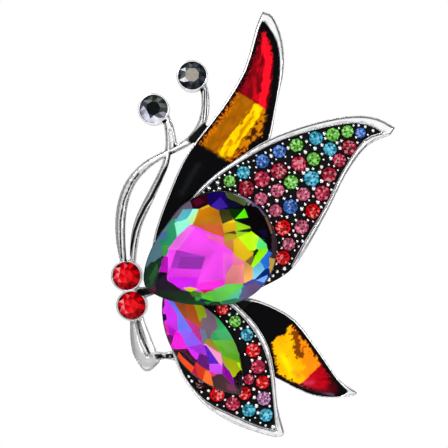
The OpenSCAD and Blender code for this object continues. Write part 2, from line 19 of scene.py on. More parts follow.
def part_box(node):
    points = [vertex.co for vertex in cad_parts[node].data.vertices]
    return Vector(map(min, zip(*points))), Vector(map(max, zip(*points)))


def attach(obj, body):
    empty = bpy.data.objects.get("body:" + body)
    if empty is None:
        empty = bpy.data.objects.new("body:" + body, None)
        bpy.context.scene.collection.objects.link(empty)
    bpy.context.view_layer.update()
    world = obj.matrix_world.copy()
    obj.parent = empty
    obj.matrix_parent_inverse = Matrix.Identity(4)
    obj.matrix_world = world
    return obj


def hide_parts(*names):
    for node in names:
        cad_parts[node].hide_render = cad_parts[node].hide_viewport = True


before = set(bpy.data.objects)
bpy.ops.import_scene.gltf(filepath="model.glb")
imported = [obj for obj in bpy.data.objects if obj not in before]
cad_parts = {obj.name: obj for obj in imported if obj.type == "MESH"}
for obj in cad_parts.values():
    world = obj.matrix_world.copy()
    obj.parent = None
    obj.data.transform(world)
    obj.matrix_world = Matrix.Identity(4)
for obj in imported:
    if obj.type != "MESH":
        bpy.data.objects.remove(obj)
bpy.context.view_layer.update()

MM = 0.001
# Rays from the front start here, well ahead of the brooch
FAR_AHEAD = 50.0

# The dome's radius at the pin stem, and heights outward from the dome, as in the CAD
DOME_R = 250.0
FLOOR_Z = 4.4
ENAMEL_Z = 5.6
ENAMEL_RIM_Z = 5.8
SEAT_Z = 5.6
STONE_RIM_Z = 6.4
BEAD_R = 0.3
BEAD_TOP_Z = SEAT_Z + 1.25 * BEAD_R

# Places and outlines on the face, as in the CAD
CUP_R = 2.62
HEAD_CUPS = ((-19.6, -8.5), (-18.75, -13.45))
PEAR_CENTRE = (-4.0, -3.8)
PEAR_R = 9.35
PEAR_TIP = 5.1
PEAR_TURN = 206.5
PEAR_TIP_SPREAD = 60
PEAR_TIP_ROUND = 5
PEAR_SIDE_POWER = 1.7
NAVETTE_CENTRE = (-6.9, -19.65)
NAVETTE_HALF_LENGTH = 10.7
NAVETTE_HALF_WIDTH = 4.75
NAVETTE_TURN = -53.0

# The finish of the castings: rounded edges, the dark line along a rim, grooves, bands of painted shade
# and the rough back.
# A vertex that isn't on a rim counts as OFF_RIM away from its edge.
RIM_RADIUS = 0.55
STRAND_RADIUS = 0.7
LEG_RADIUS = 1.9
LEG_CORNER = (-14.0, -14.4)
BODY_DROP = 0.75
EDGE_STEP = 0.08
OFF_RIM = 9.0
RIM_LINE_PLACE = 0.36
RIM_LINE_HALF = 0.1
RIM_LINE_TONE = 0.75
GROOVE_REACH = 1.2
FULLY_DARK_DEPTH = 0.2
BACK_TARNISH = 0.18
BACK_RELIEF = 0.07

# The beads between the small stones
GRAIN_STEP = 0.22
GRAIN_GAP = 0.24
GRAIN_CLEARANCE = ((-0.3, 0), (0.3, 0), (0, -0.3), (0, 0.3))
CAP_Z = SEAT_Z + 0.14
CAP_LEAN = 0.62 * math.pi
CAP_RINGS = 5
CAP_SIDES = 12

# The cut stones. The crystals' girdles stand just clear of the lips of their holders.
CROWN_KINDS = ("table", "star", "kite", "edge")
PEAR_GIRDLE_Z = 9.37
NAVETTE_GIRDLE_Z = 7.1
CRYSTAL_GIRDLE = 0.2
CROWN_SHARE = 0.995
FOIL_SHARE = 0.985
FOIL_DEPTH = 0.1
FACET_GAP = 0.3


# ---- Small tools ----

def linear(colour):
    """A colour given from 0 to 255 as it looks on a screen, as linear red, green and blue."""
    return [c / 255 / 12.92 if c < 11 else ((c / 255 + 0.055) / 1.055) ** 2.4 for c in colour]


def mix(a, b, share):
    """The colour that lies the given share of the way from a to b."""
    return [p + (q - p) * share for p, q in zip(a, b)]


def smooth_step(low, high, value):
    """A soft step from 0, where the value is low, to 1, where it is high."""
    t = min(max((value - low) / (high - low), 0.0), 1.0)
    return t * t * (3 - 2 * t)


def grain(x, z, size, seed=0.0):
    """Smooth noise from about -1 to 1 with bumps of the given size."""
    return noise.noise(Vector((x / size, z / size, seed)))


def dome_front(x, z, height):
    """How far in front of the pin stem the dome stands at a place, at a given height."""
    return math.sqrt((DOME_R + height) ** 2 - x * x - z * z) - DOME_R


def on_dome(x, z, height):
    """The point at a place and a height, in millimetres."""
    return (x, -dome_front(x, z, height), z)


def segment_distance(x, z, a, b):
    """Distance from a place to a line segment, and how far along it the nearest point is."""
    dx, dz = b[0] - a[0], b[1] - a[1]
    t = ((x - a[0]) * dx + (z - a[1]) * dz) / (dx * dx + dz * dz)
    t = min(max(t, 0.0), 1.0)
    return math.hypot(x - a[0] - t * dx, z - a[1] - t * dz), t


def path_distance(x, z, path):
    """Distance from a place to the nearest stretch of a path."""
    return min(segment_distance(x, z, a, b)[0] for a, b in zip(path, path[1:]))


def side_of(x, z, a, b):
    """Distance to the left of the line from a to b, negative on its right."""
    run = math.hypot(b[0] - a[0], b[1] - a[1])
    return ((b[0] - a[0]) * (z - a[1]) - (b[1] - a[1]) * (x - a[0])) / run


def in_outline(x, z, outline):
    """Whether a place is inside a closed outline."""
    found = False
    for (ax, az), (bx, bz) in zip(outline, outline[1:] + outline[:1]):
        if (az > z) != (bz > z) and x < ax + (bx - ax) * (z - az) / (bz - az):
            found = not found
    return found


def mesh_points(mesh, unit=MM):
    """The mesh's vertices in millimetres, one row each."""
    flat = np.zeros(len(mesh.vertices) * 3, np.float32)
    mesh.vertices.foreach_get("co", flat)
    return flat.reshape(-1, 3).astype(float) / unit


def joined(nodes):
    """The points and faces of several CAD nodes together, in millimetres."""
    points, faces = [], []
    for node in nodes:
        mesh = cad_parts[node].data
        start = len(points)
        points += [tuple(p) for p in mesh_points(mesh)]
        faces += [[start + v for v in face.vertices] for face in mesh.polygons]
    return points, faces


def front_hit(tree, x, z):
    """The first point of a solid that is met from the front at a place, or None."""
    return tree.ray_cast(Vector((x, -FAR_AHEAD, z)), Vector((0, 1, 0)))[0]


def place_finder(places):
    """A finder for the nearest of some places."""
    finder = KDTree(len(places))
    for k, (x, z) in enumerate(places):
        finder.insert((x, 0, z), k)
    finder.balance()
    return finder


def outer_edges(faces):
    """The edges that only one of the faces has."""
    edges = set()
    for face in faces:
        for a, b in zip(face, face[1:] + face[:1]):
            if (b, a) in edges:
                edges.remove((b, a))
            else:
                edges.add((a, b))
    return sorted(edges)


def slab(top, count):
    """The faces of a closed slab: its top, the same faces turned over, count points further on, and
    the wall around them."""
    bottom = [[v + count for v in reversed(face)] for face in top]
    wall = [[b, a, a + count, b + count] for a, b in outer_edges(top)]
    return top + bottom + wall


def heights(points):
    """Height of each point above the dome."""
    return np.sqrt(points[:, 0] ** 2 + points[:, 2] ** 2 + (DOME_R - points[:, 1]) ** 2) - DOME_R


def make_piece(name, points, faces, material, nodes=(), smooth=False):
    """A mesh from points in millimetres, riding on the main body."""
    mesh = bpy.data.meshes.new(name)
    mesh.from_pydata([tuple(c * MM for c in p) for p in points], [], faces)
    mesh.validate()
    mesh.polygons.foreach_set("use_smooth", [smooth] * len(mesh.polygons))
    return add_piece(name, mesh, material, nodes)


def add_piece(name, mesh, material, nodes=()):
    """Puts a mesh in the scene on the main body, in place of the given CAD nodes."""
    obj = bpy.data.objects.new(name, mesh)
    bpy.context.scene.collection.objects.link(obj)
    mesh.materials.clear()
    mesh.materials.append(material)
    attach(obj, "root")
    if nodes:
        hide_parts(*nodes)
    return obj


def store_paint(obj, domain, colours):
    """Gives each point or each face corner of a piece its own colour."""
    layer = obj.data.color_attributes.new("paint", "FLOAT_COLOR", domain)
    layer.data.foreach_set("color", [c for colour in colours for c in (*colour, 1.0)])


def paint_faces(obj, colours):
    """Gives each face its own colour."""
    sizes = [face.loop_total for face in obj.data.polygons]
    store_paint(obj, "CORNER", [colour for colour, size in zip(colours, sizes) for _ in range(size)])


# ---- Materials ----

def new_material(name):
    """A new material with its node tree and its shader."""
    material = bpy.data.materials.new(name)
    material.use_nodes = True
    tree = material.node_tree
    return material, tree, tree.nodes["Principled BSDF"]


def noise_node(tree, scale, detail=3.0):
    """Solid noise in the piece's own place, with bumps of about 1/scale metres."""
    place = tree.nodes.new("ShaderNodeTexCoord")
    texture = tree.nodes.new("ShaderNodeTexNoise")
    texture.inputs["Scale"].default_value = scale
    texture.inputs["Detail"].default_value = detail
    tree.links.new(place.outputs["Object"], texture.inputs["Vector"])
    return texture.outputs["Fac"]


def ramp_node(tree, fac, stops):
    """A colour ramp over a value, from (place, colour) pairs."""
    ramp = tree.nodes.new("ShaderNodeValToRGB")
    while len(ramp.color_ramp.elements) < len(stops):
        ramp.color_ramp.elements.new(0.5)
    for element, (place, colour) in zip(ramp.color_ramp.elements, stops):
        element.position = place
        element.color = (*colour, 1.0)
    tree.links.new(fac, ramp.inputs["Fac"])
    return ramp.outputs["Color"]


def range_node(tree, value, source, target):
    """Carries a value from one range to another."""
    node = tree.nodes.new("ShaderNodeMapRange")
    for socket, limit in zip(("From Min", "From Max", "To Min", "To Max"), (*source, *target)):
        node.inputs[socket].default_value = limit
    tree.links.new(value, node.inputs["Value"])
    return node.outputs["Result"]


def mix_node(tree, kind, fac, a, b):
    """Mixes two colours; each of fac, a and b is a value or another node's output."""
    node = tree.nodes.new("ShaderNodeMix")
    node.data_type = "RGBA"
    node.blend_type = kind
    for socket, value in ((node.inputs[0], fac), (node.inputs[6], a), (node.inputs[7], b)):
        if isinstance(value, bpy.types.NodeSocket):
            tree.links.new(value, socket)
        elif isinstance(value, (int, float)):
            socket.default_value = value
        else:
            socket.default_value = (*value, 1.0)
    return node.outputs[2]


def clouded(tree, colour, scale, darkest, low=0.3, high=0.7):
    """A colour with soft clouds in it, down to the darkest share of itself."""
    cloud = ramp_node(tree, noise_node(tree, scale), [(low, (darkest,) * 3), (high, (1, 1, 1))])
    return mix_node(tree, "MULTIPLY", 1.0, colour, cloud)


def add_bump(tree, shader, height, strength, distance):
    """Fine relief, its distance in millimetres."""
    bump = tree.nodes.new("ShaderNodeBump")
    bump.inputs["Strength"].default_value = strength
    bump.inputs["Distance"].default_value = distance * MM
    tree.links.new(height, bump.inputs["Height"])
    tree.links.new(bump.outputs["Normal"], shader.inputs["Normal"])


def attribute_node(tree, name):
    """Reads what is stored on the piece's points or corners under a name."""
    node = tree.nodes.new("ShaderNodeAttribute")
    node.attribute_name = name
    return node


SILVER = (0.86, 0.86, 0.87)
OXIDE_AND_SHADE = (0.004, 0.004, 0.004)


def silver_material():
    """Polished plating that turns black wherever the piece's "dark" attribute is high: oxide and tarnish,
    and in places painted shade.
    """
    material, tree, shader = new_material("antiqued_silver")
    dark = attribute_node(tree, "dark").outputs["Fac"]
    bright = clouded(tree, SILVER, 900.0, 0.9)
    tree.links.new(mix_node(tree, "MIX", dark, bright, OXIDE_AND_SHADE), shader.inputs["Base Color"])
    tree.links.new(range_node(tree, dark, (0, 1), (1, 0)), shader.inputs["Metallic"])
    tree.links.new(range_node(tree, dark, (0, 1), (0.16, 0.6)), shader.inputs["Roughness"])
    shader.inputs["Specular IOR Level"].default_value = 0.06
    add_bump(tree, shader, noise_node(tree, 2500.0), 0.15, 0.03)
    return material


def steel_material(name, tint, roughness, bump):
    """Drawn or pressed pin metal with fine marks."""
    material, tree, shader = new_material(name)
    cloud = ramp_node(tree, noise_node(tree, 700.0), [(0.3, [c * 0.8 for c in tint]), (0.7, tint)])
    tree.links.new(cloud, shader.inputs["Base Color"])
    shader.inputs["Metallic"].default_value = 1.0
    shader.inputs["Roughness"].default_value = roughness
    add_bump(tree, shader, noise_node(tree, 3000.0), bump, 0.03)
    return material


def enamel_material(name):
    """Clear glossy pour over the painted colours, which glow a little with painted light."""
    material, tree, shader = new_material(name)
    paint = attribute_node(tree, "paint").outputs["Color"]
    colour = clouded(tree, paint, 600.0, 0.8, 0.35, 0.65)
    tree.links.new(colour, shader.inputs["Base Color"])
    # Painted glow: the enamel's colours give off a little light of their own
    tree.links.new(colour, shader.inputs["Emission Color"])
    shader.inputs["Emission Strength"].default_value = 0.25
    shader.inputs["Roughness"].default_value = 0.05
    shader.inputs["Specular IOR Level"].default_value = 0.03
    add_bump(tree, shader, noise_node(tree, 250.0, 1.0), 0.25, 0.25)
    return material


def foil_material(name, glow, body, gloss):
    """Mirror-backed glass whose facets carry painted colours with light and shade in them. glow is the
    share of them given off as painted glow, standing for what the foil sends back, and body the share
    that lights up with the room."""
    material, tree, shader = new_material(name)
    paint = attribute_node(tree, "paint").outputs["Color"]
    colour = clouded(tree, paint, 400.0, 0.86)
    shade = mix_node(tree, "MULTIPLY", 1.0, colour, (body, body, body))
    tree.links.new(shade, shader.inputs["Base Color"])
    # Painted glow: the facets give off light of their own, in place of what their foil sends back
    tree.links.new(colour, shader.inputs["Emission Color"])
    shader.inputs["Emission Strength"].default_value = glow
    shader.inputs["Roughness"].default_value = 0.12
    shader.inputs["Specular IOR Level"].default_value = gloss
    return material


def crystal_material():
    """Clear lead crystal, faintly clouded by fine wear."""
    material, tree, shader = new_material("clear_crystal")
    wear = ramp_node(tree, noise_node(tree, 500.0), [(0.3, (0.94, 0.94, 0.96)), (0.7, (1, 1, 1))])
    tree.links.new(wear, shader.inputs["Base Color"])
    shader.inputs["Transmission Weight"].default_value = 1.0
    shader.inputs["Roughness"].default_value = 0.0
    shader.inputs["IOR"].default_value = 1.22
    return material


# ---- Castings ----

def remeshed(node, voxel, rounds):
    """A copy of a CAD node as one even, softened skin, which rounds its edges like a casting's. Its
    vertices are in millimetres."""
    rough = bpy.data.meshes.new("rough")
    points, faces = joined([node])
    rough.from_pydata(points, [], faces)
    holder = bpy.data.objects.new("holder", rough)
    bpy.context.scene.collection.objects.link(holder)
    weld = holder.modifiers.new("weld", "WELD")
    weld.merge_threshold = 0.001
    grid = holder.modifiers.new("grid", "REMESH")
    grid.mode = "VOXEL"
    grid.voxel_size = voxel
    grid.use_smooth_shade = True
    soft = holder.modifiers.new("soft", "SMOOTH")
    soft.factor = 0.5
    soft.iterations = rounds
    depsgraph = bpy.context.evaluated_depsgraph_get()
    mesh = bpy.data.meshes.new_from_object(holder.evaluated_get(depsgraph))
    bpy.data.objects.remove(holder)
    bpy.data.meshes.remove(rough)
    return mesh


def facing_front(mesh):
    """How squarely each vertex faces the front, from -1 to 1."""
    flat = np.zeros(len(mesh.vertices) * 3, np.float32)
    mesh.vertex_normals.foreach_get("vector", flat)
    return -flat.reshape(-1, 3)[:, 1]


def carve(points, high, front, grooves, dark):
    """Sinks grooves and pits into the front of a casting and darkens them, shallow ones only a
    little; the broad shallow ones are bands of painted shade. Each is a width, a depth, how far it is
    broken up into pits, and the path it follows."""
    for width, depth, broken, path in grooves:
        reach = GROOVE_REACH * width
        low_x, low_z = np.min(path, 0) - reach
        high_x, high_z = np.max(path, 0) + reach
        near = ((points[:, 0] > low_x) & (points[:, 0] < high_x) & (points[:, 2] > low_z)
                & (points[:, 2] < high_z) & (front > 0.2) & (high > FLOOR_Z + 0.6))
        for i in np.where(near)[0]:
            x, z = points[i, 0], points[i, 2]
            away = path_distance(x, z, path)
            if away > reach:
                continue
            pits = 1 - broken * smooth_step(-0.1, 0.25, grain(x, z, 0.45, 3.0))
            share = (1 - smooth_step(width * 0.35, reach, away)) * pits
            points[i, 1] += depth * share
            # Darkness in the grooves, and painted shade in the broad shallow bands
            dark[i] = max(dark[i], min(1.0, 1.5 * share) * min(1.0, depth / FULLY_DARK_DEPTH))


def rim_radius(x, z):
    """The rims are rounded alike everywhere."""
    return RIM_RADIUS


def body_radius(x, z):
    """The leg swells like a drop, and the strands are wires."""
    return LEG_RADIUS if x < LEG_CORNER[0] and z < LEG_CORNER[1] else STRAND_RADIUS


def edge_finder(node, top):
    """A finder for the nearest place on the sharp edges around a casting's top faces."""
    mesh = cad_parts[node].data
    points = mesh_points(mesh)
    on_top = np.abs(heights(points) - top) <= 0.03
    places = []
    for face in mesh.polygons:
        if abs(face.normal.y) > 0.5:
            continue
        corners = list(face.vertices)
        for a, b in zip(corners, corners[1:] + corners[:1]):
            if on_top[a] and on_top[b]:
                count = int(np.linalg.norm(points[b] - points[a]) / EDGE_STEP) + 1
                steps = [points[a] + (points[b] - points[a]) * k / count for k in range(count + 1)]
                places += [(step[0], step[2]) for step in steps]
    return place_finder(places)


def round_edges(points, high, front, node, top, radius, drop):
    """Rounds a casting's top edges, and gives each vertex's distance from the nearest of them. The
    rounding is an ellipse, drop deep, and as wide as radius says at the place."""
    finder = edge_finder(node, top)
    away = np.full(len(points), OFF_RIM)
    near_top = (high > top - 0.5) & (high < top + 0.05) & (front > 0.1)
    for i in np.where(near_top)[0]:
        x, z = points[i, 0], points[i, 2]
        away[i] = finder.find((x, 0, z))[2]
        lack = max(1 - away[i] / radius(x, z), 0)
        points[i, 1] += drop * (1 - math.sqrt(1 - lack ** 2))
    return away


def rim_line(points, away):
    """Darkness of the fine dark line that runs along a rim beside its edges, painted without any relief.
    """
    dark = np.zeros(len(points))
    for i in np.where(np.abs(away - RIM_LINE_PLACE) < RIM_LINE_HALF)[0]:
        broken = smooth_step(-0.15, 0.2, grain(points[i, 0], points[i, 2], 1.1, 11.0))
        dark[i] = RIM_LINE_TONE * broken * (1 - abs(away[i] - RIM_LINE_PLACE) / RIM_LINE_HALF)
    return dark


def roughen_back(points, front, dark):
    """The back of a casting as it leaves the mould: softly uneven and mottled with tarnish."""
    for i in np.where(front < -0.7)[0]:
        x, z = points[i, 0], points[i, 2]
        points[i, 1] -= BACK_RELIEF * (0.5 + grain(x, z, 1.6, 5.0))
        dark[i] = BACK_TARNISH * (1 + 1.5 * grain(x, z, 0.9, 6.0))


def cast_piece(name, node, voxel, tone, top, rounds=2, radius=rim_radius, drop=RIM_RADIUS, grooves=()):
    """A silver casting made from its CAD node. tone gives each vertex's darkness, and the edges at
    the height top are rounded."""
    mesh = remeshed(node, voxel, rounds)
    points = mesh_points(mesh, 1.0)
    high = heights(points)
    front = facing_front(mesh)
    away = round_edges(points, high, front, node, top, radius, drop)
    dark = np.maximum(tone(points, high, front), rim_line(points, away))
    roughen_back(points, front, dark)
    carve(points, high, front, grooves, dark)
    mesh.vertices.foreach_set("co", (points * MM).astype(np.float32).ravel())
    mesh.update()
    layer = mesh.attributes.new("dark", "FLOAT", "POINT")
    layer.data.foreach_set("value", dark.astype(np.float32))
    return add_piece(name, mesh, silver, [node])


def lip_tone(points, high, front):
    """A stone's holder, oxidised except on its outer wall."""
    return np.where(np.abs(front) < 0.5, 0.6, 1.0)


def plain_tone(points, high, front):
    """A little tarnish low on the walls, none on the polished front."""
    return np.clip((FLOOR_Z + 0.5 - high) * 0.4, 0, 0.35) * (np.abs(front) < 0.6)


TAIL_CORNER = [(-0.9, -12.9), (0.7, -13.2), (0.6, -14.3), (-0.9, -12.9)]


def tail_tone(points, high, front):
    """Black enamel has run over the tail's corner beside the stone-set wing."""
    dark = plain_tone(points, high, front)
    for i in np.where((points[:, 0] < 1.6) & (front > 0.3))[0]:
        away = path_distance(points[i, 0], points[i, 2], TAIL_CORNER)
        dark[i] = max(dark[i], 1 - smooth_step(0.5, 0.8, away))
    return dark


def pave_tone(points, high, front):
    """Black between the stones, bright on the bead tops and rims."""
    floor = np.clip((SEAT_Z + 0.3 - high) / 0.2, 0, 1)
    return floor * np.clip((front + 0.1) / 0.2, 0, 1) + plain_tone(points, high, front) * (front < 0)


BODY_GROOVES_AND_SHADE_BANDS = [
    (0.3, 0.35, 0.0, [(-19.1, -5), (-18.3, -1), (-17.5, 1), (-16.5, 3), (-15.5, 4.5), (-14, 7.5),
                      (-13.3, 9), (-12.6, 10), (-12.2, 12)]),
    (0.16, 0.25, 0.45, [(-20.5, -5.5), (-20.7, -2), (-20.65, 1), (-20.1, 4), (-18.8, 7), (-17.6, 8.6)]),
    (0.22, 0.3, 0.3, [(-19.7, -6), (-19.9, -2), (-19.85, 1), (-19.25, 4), (-17.9, 6.8), (-16.4, 8.8)]),
    (0.16, 0.2, 0.5, [(-17.4, -2), (-16.4, 1.5), (-14.8, 4.6), (-13.6, 7.5)]),
    (0.3, 0.4, 0.0, [(-14.85, 4.5), (-14.75, 4.7)]),
    (0.12, 0.2, 0.0, [(-6.9, 17.2), (-6.65, 19.5), (-6.6, 22.6)]),
    (0.12, 0.2, 0.0, [(-6.35, 17.6), (-6.2, 20), (-6.25, 22.4)]),
    (0.3, 0.4, 0.0, [(-7.2, 22.4), (-7.0, 22.7)]),
    (0.25, 0.4, 0.0, [(-13.5, 17.2), (-13.2, 17.4)]),
    (0.25, 0.4, 0.0, [(-11.7, 13.4), (-11.5, 13.2)]),
    (0.25, 0.4, 0.0, [(-11.7, 12.1), (-11.5, 12)]),
    (0.9, 0.4, 0.1, [(-8.6, 14.3), (-7.5, 15.4), (-6.4, 16.4)]),
    (0.5, 0.4, 0.6, [(-14.6, -22.1), (-11.2, -21.9)]),
    (0.8, 0.3, 0.2, [(-17.4, -11.3), (-15.0, -10.9)]),
    # The next four are broad shallow bands of painted shade: the leg's left side and foot, and the left
    # flanks of the two strands
    (0.8, 0.08, 0.1, [(-18.7, -15.6), (-18.6, -19), (-17.9, -21.6), (-16.6, -23.2), (-15, -23.2)]),
    (0.9, 0.07, 0.3, [(-16.6, -22.2), (-14.6, -22.2)]),
    (0.5, 0.06, 0.4, [(-21.1, -5), (-21.3, -1), (-21.1, 2), (-20.4, 5), (-18.7, 8), (-16.2, 10.4)]),
    (0.4, 0.06, 0.4, [(-19.5, -5), (-18.7, -1), (-18, 1.2), (-17, 3.2), (-16, 4.8), (-14.5, 7.7)]),
    (0.22, 0.4, 0.2, [(-17.8, -16.2), (-17.4, -18.2), (-16.6, -20.1), (-15.9, -21.5)]),
]


def body_tone(points, high, front):
    """Tarnish low on the walls, and painted shadow on the head's two cups, where the red stones shade
    them.
    """
    dark = np.clip((ENAMEL_RIM_Z - 0.75 - high) / 0.5, 0, 0.7) * (np.abs(front) < 0.6)
    # Painted shadow of each red stone on its cup
    for x, z in HEAD_CUPS:
        near = np.hypot(points[:, 0] - x, points[:, 2] - z) < CUP_R + 0.1
        dark = np.where(near & (high > ENAMEL_RIM_Z), 0.3, dark)
    return dark


def cast_beads(node):
    """The places of a wing's cast beads, whose tops are the only CAD points at their height."""
    points = mesh_points(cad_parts[node].data)
    tops = points[np.abs(heights(points) - BEAD_TOP_Z) < 0.01]
    return sorted({(round(float(p[0]), 2), round(float(p[2]), 2)) for p in tops})


def gap_beads(node, stones, beads, spacing, reach):
    """Places for the small grains raised between the stones: on the wing's floor, clear of its rim,
    of the stones and of the other beads, the ones nearest to a stone first."""
    tree = BVHTree.FromPolygons(*joined([node]))
    low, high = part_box(node)

    def on_floor(x, z):
        hit = front_hit(tree, x, z)
        return hit is not None and abs(-hit.y - dome_front(x, z, SEAT_Z)) < 0.08

    spots = []
    for i in range(int((high.x - low.x) / MM / GRAIN_STEP)):
        for k in range(int((high.z - low.z) / MM / GRAIN_STEP)):
            x, z = low.x / MM + i * GRAIN_STEP, low.z / MM + k * GRAIN_STEP
            gap = min(math.hypot(x - s[0], z - s[1]) - s[2] for s in stones)
            if GRAIN_GAP < gap < reach and all(on_floor(x + dx, z + dz) for dx, dz in GRAIN_CLEARANCE):
                spots.append((round(gap, 3), x, z))
    taken = list(beads)
    for gap, x, z in sorted(spots):
        if all(math.hypot(x - b[0], z - b[1]) > spacing for b in taken):
            taken.append((x, z))
    return taken[len(beads):]


def cap_points(x, z, radius):
    """The points of a bead's cap: rings from the top down, then its top and its foot."""
    points = []
    for k in range(CAP_RINGS):
        lean = CAP_LEAN * (k + 1) / CAP_RINGS
        out = radius * math.sin(lean)
        turns = [2 * math.pi * m / CAP_SIDES for m in range(CAP_SIDES)]
        points += [on_dome(x + out * math.cos(turn), z + out * math.sin(turn),
                           CAP_Z + radius * math.cos(lean)) for turn in turns]
    return points + [on_dome(x, z, CAP_Z + radius), on_dome(x, z, SEAT_Z - 0.1)]


def cap_faces(start):
    """The faces of a cap whose points begin with number start."""
    top = start + CAP_RINGS * CAP_SIDES
    foot = top + 1
    last = top - CAP_SIDES
    faces = []
    for m in range(CAP_SIDES):
        after = (m + 1) % CAP_SIDES
        faces += [[top, start + m, start + after], [foot, last + after, last + m]]
        for ring in range(start, last, CAP_SIDES):
            below = ring + CAP_SIDES
            faces.append([ring + m, below + m, below + after, ring + after])
    return faces


def bead_caps(name, node, groups, spacing, reach):
    """Polished caps on a wing's beads. The small grains stand at least spacing apart, and no
    further than reach from a stone."""
    stones = [stone for group in groups for stone in round_solids(group)]
    cast = cast_beads(node)
    grains = gap_beads(node, stones, cast, spacing, reach)
    pick = random.Random(name)
    beads = [(x, z, BEAD_R * pick.uniform(1.1, 1.35)) for x, z in cast]
    beads += [(x, z, BEAD_R * pick.uniform(0.7, 1.15)) for x, z in grains]
    points, faces = [], []
    for bead in beads:
        faces += cap_faces(len(points))
        points += cap_points(*bead)
    return make_piece(name, points, faces, silver, (), True)


# ---- Enamel ----

GRID = 0.16
POUR_RISE = 0.2
POUR_SLOPE = 0.9
BLACK = (4, 3, 5)


def pour(name, nodes, paint):
    """One smooth domed pour over the place of several enamel nodes, coloured by paint."""
    tree = BVHTree.FromPolygons(*joined(nodes))
    boxes = [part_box(node) for node in nodes]
    x0 = min(low.x for low, high in boxes) / MM - 2 * GRID
    z0 = min(low.z for low, high in boxes) / MM - 2 * GRID
    columns = int((max(high.x for low, high in boxes) / MM - x0) / GRID) + 3
    rows = int((max(high.z for low, high in boxes) / MM - z0) / GRID) + 3
    inside = np.zeros((columns, rows), bool)
    for i in range(columns):
        for k in range(rows):
            inside[i, k] = front_hit(tree, x0 + i * GRID, z0 + k * GRID) is not None
    edge = inside.copy()
    edge[1:-1, 1:-1] &= ~(inside[:-2, 1:-1] & inside[2:, 1:-1] & inside[1:-1, :-2] & inside[1:-1, 2:])
    finder = place_finder([(x0 + i * GRID, z0 + k * GRID) for i, k in np.argwhere(edge)])
    grown = inside.copy()
    for step in product((-1, 0, 1), repeat=2):
        grown |= np.roll(inside, step, (0, 1))
    number = -np.ones((columns, rows), int)
    points, colours = [], []
    for i, k in np.argwhere(grown):
        x, z = x0 + i * GRID, z0 + k * GRID
        away = finder.find((x, 0, z))[2] if inside[i, k] else 0.0
        rise = POUR_RISE * (1 - math.exp(-away / POUR_SLOPE))
        number[i, k] = len(points)
        points.append(on_dome(x, z, ENAMEL_Z + rise))
        colours.append(linear(paint(x, z, away)))
    count = len(points)
    points += [on_dome(p[0], p[2], FLOOR_Z - 0.05) for p in points]
    top = []
    for i in range(columns - 1):
        for k in range(rows - 1):
            ring = [int(number[place]) for place in ((i, k), (i + 1, k), (i + 1, k + 1), (i, k + 1))]
            if min(ring) >= 0:
                top.append(ring)
    obj = make_piece(name, points, slab(top, count), enamel_material(name + "_glaze"), nodes, True)
    store_paint(obj, "POINT", colours + colours)
    return obj


def streak(x, z, a, b, width):
    """How strongly a soft streak from a to b shows at a place."""
    away = segment_distance(x, z, a, b)[0]
    return math.exp(-(away / width) ** 2)


def ragged(x, z, size, seed):
    """Torn-looking noise from about -1 to 1, for the edges where poured colours meet."""
    place = Vector((x / size, z / size, seed))
    return noise.fractal(place, 0.6, 2.1, 5)


def brushed(x, z, a, b, length, width, seed):
    """Torn-looking noise stretched along the line from a to b."""
    run = math.hypot(b[0] - a[0], b[1] - a[1])
    along = ((x - a[0]) * (b[0] - a[0]) + (z - a[1]) * (b[1] - a[1])) / run
    return noise.fractal(Vector((along / length, side_of(x, z, a, b) / width, seed)), 0.7, 2.1, 4)


def forewing_red(x, z):
    """Brushed red in the upper part, with a bright band down its middle."""
    torn = brushed(x, z, (3.1, 20.5), (5.0, 32), 2.2, 0.7, 3.0)
    off = x - 3.2 - 0.17 * (z - 20.5) + 0.5 * torn
    red = mix((112, 0, 10), (150, 2, 18), smooth_step(-0.4, 0.4, torn))
    bright_edge = -0.8 - 1.2 * smooth_step(26, 30, z)
    bright = smooth_step(bright_edge, bright_edge + 0.25, off) * (1 - smooth_step(0.4, 0.65, off))
    red = mix(red, (246, 12, 34), bright)
    red = mix(red, (74, 0, 8), smooth_step(0.55, 0.8, off) * 0.85)
    fleck = smooth_step(0.12, 0.2, torn) * smooth_step(-2.2, -1.2, off) * (off < -0.7)
    red = mix(red, (200, 6, 24), 0.8 * fleck)
    return mix(red, BLACK, smooth_step(32.3, 33.2, z + 0.4 * torn))


def forewing_amber(x, z):
    """Brushed amber in the middle part, yellow along its middle and brown on its right."""
    torn = brushed(x, z, (2.6, 20.4), (-3.4, 12), 2.6, 0.8, 2.0)
    off = side_of(x, z, (2.6, 20.4), (-3.4, 12)) + 0.6 * torn
    amber = mix((152, 84, 0), (166, 96, 0), smooth_step(-0.3, 0.3, torn))
    yellow = smooth_step(-0.85, -0.6, off) * (1 - smooth_step(1.0, 1.3, off))
    amber = mix(amber, (255, 202, 0), yellow)
    amber = mix(amber, (196, 124, 0), 0.8 * smooth_step(0.16, 0.26, torn) * (off > -0.2))
    right = mix((196, 120, 0), (70, 26, 0), smooth_step(-0.1, 0.08, ragged(x, z, 1.1, 6.0)))
    return mix(amber, right, smooth_step(1.1, 1.5, off + 0.5 * ragged(x, z, 0.9, 12.0)))


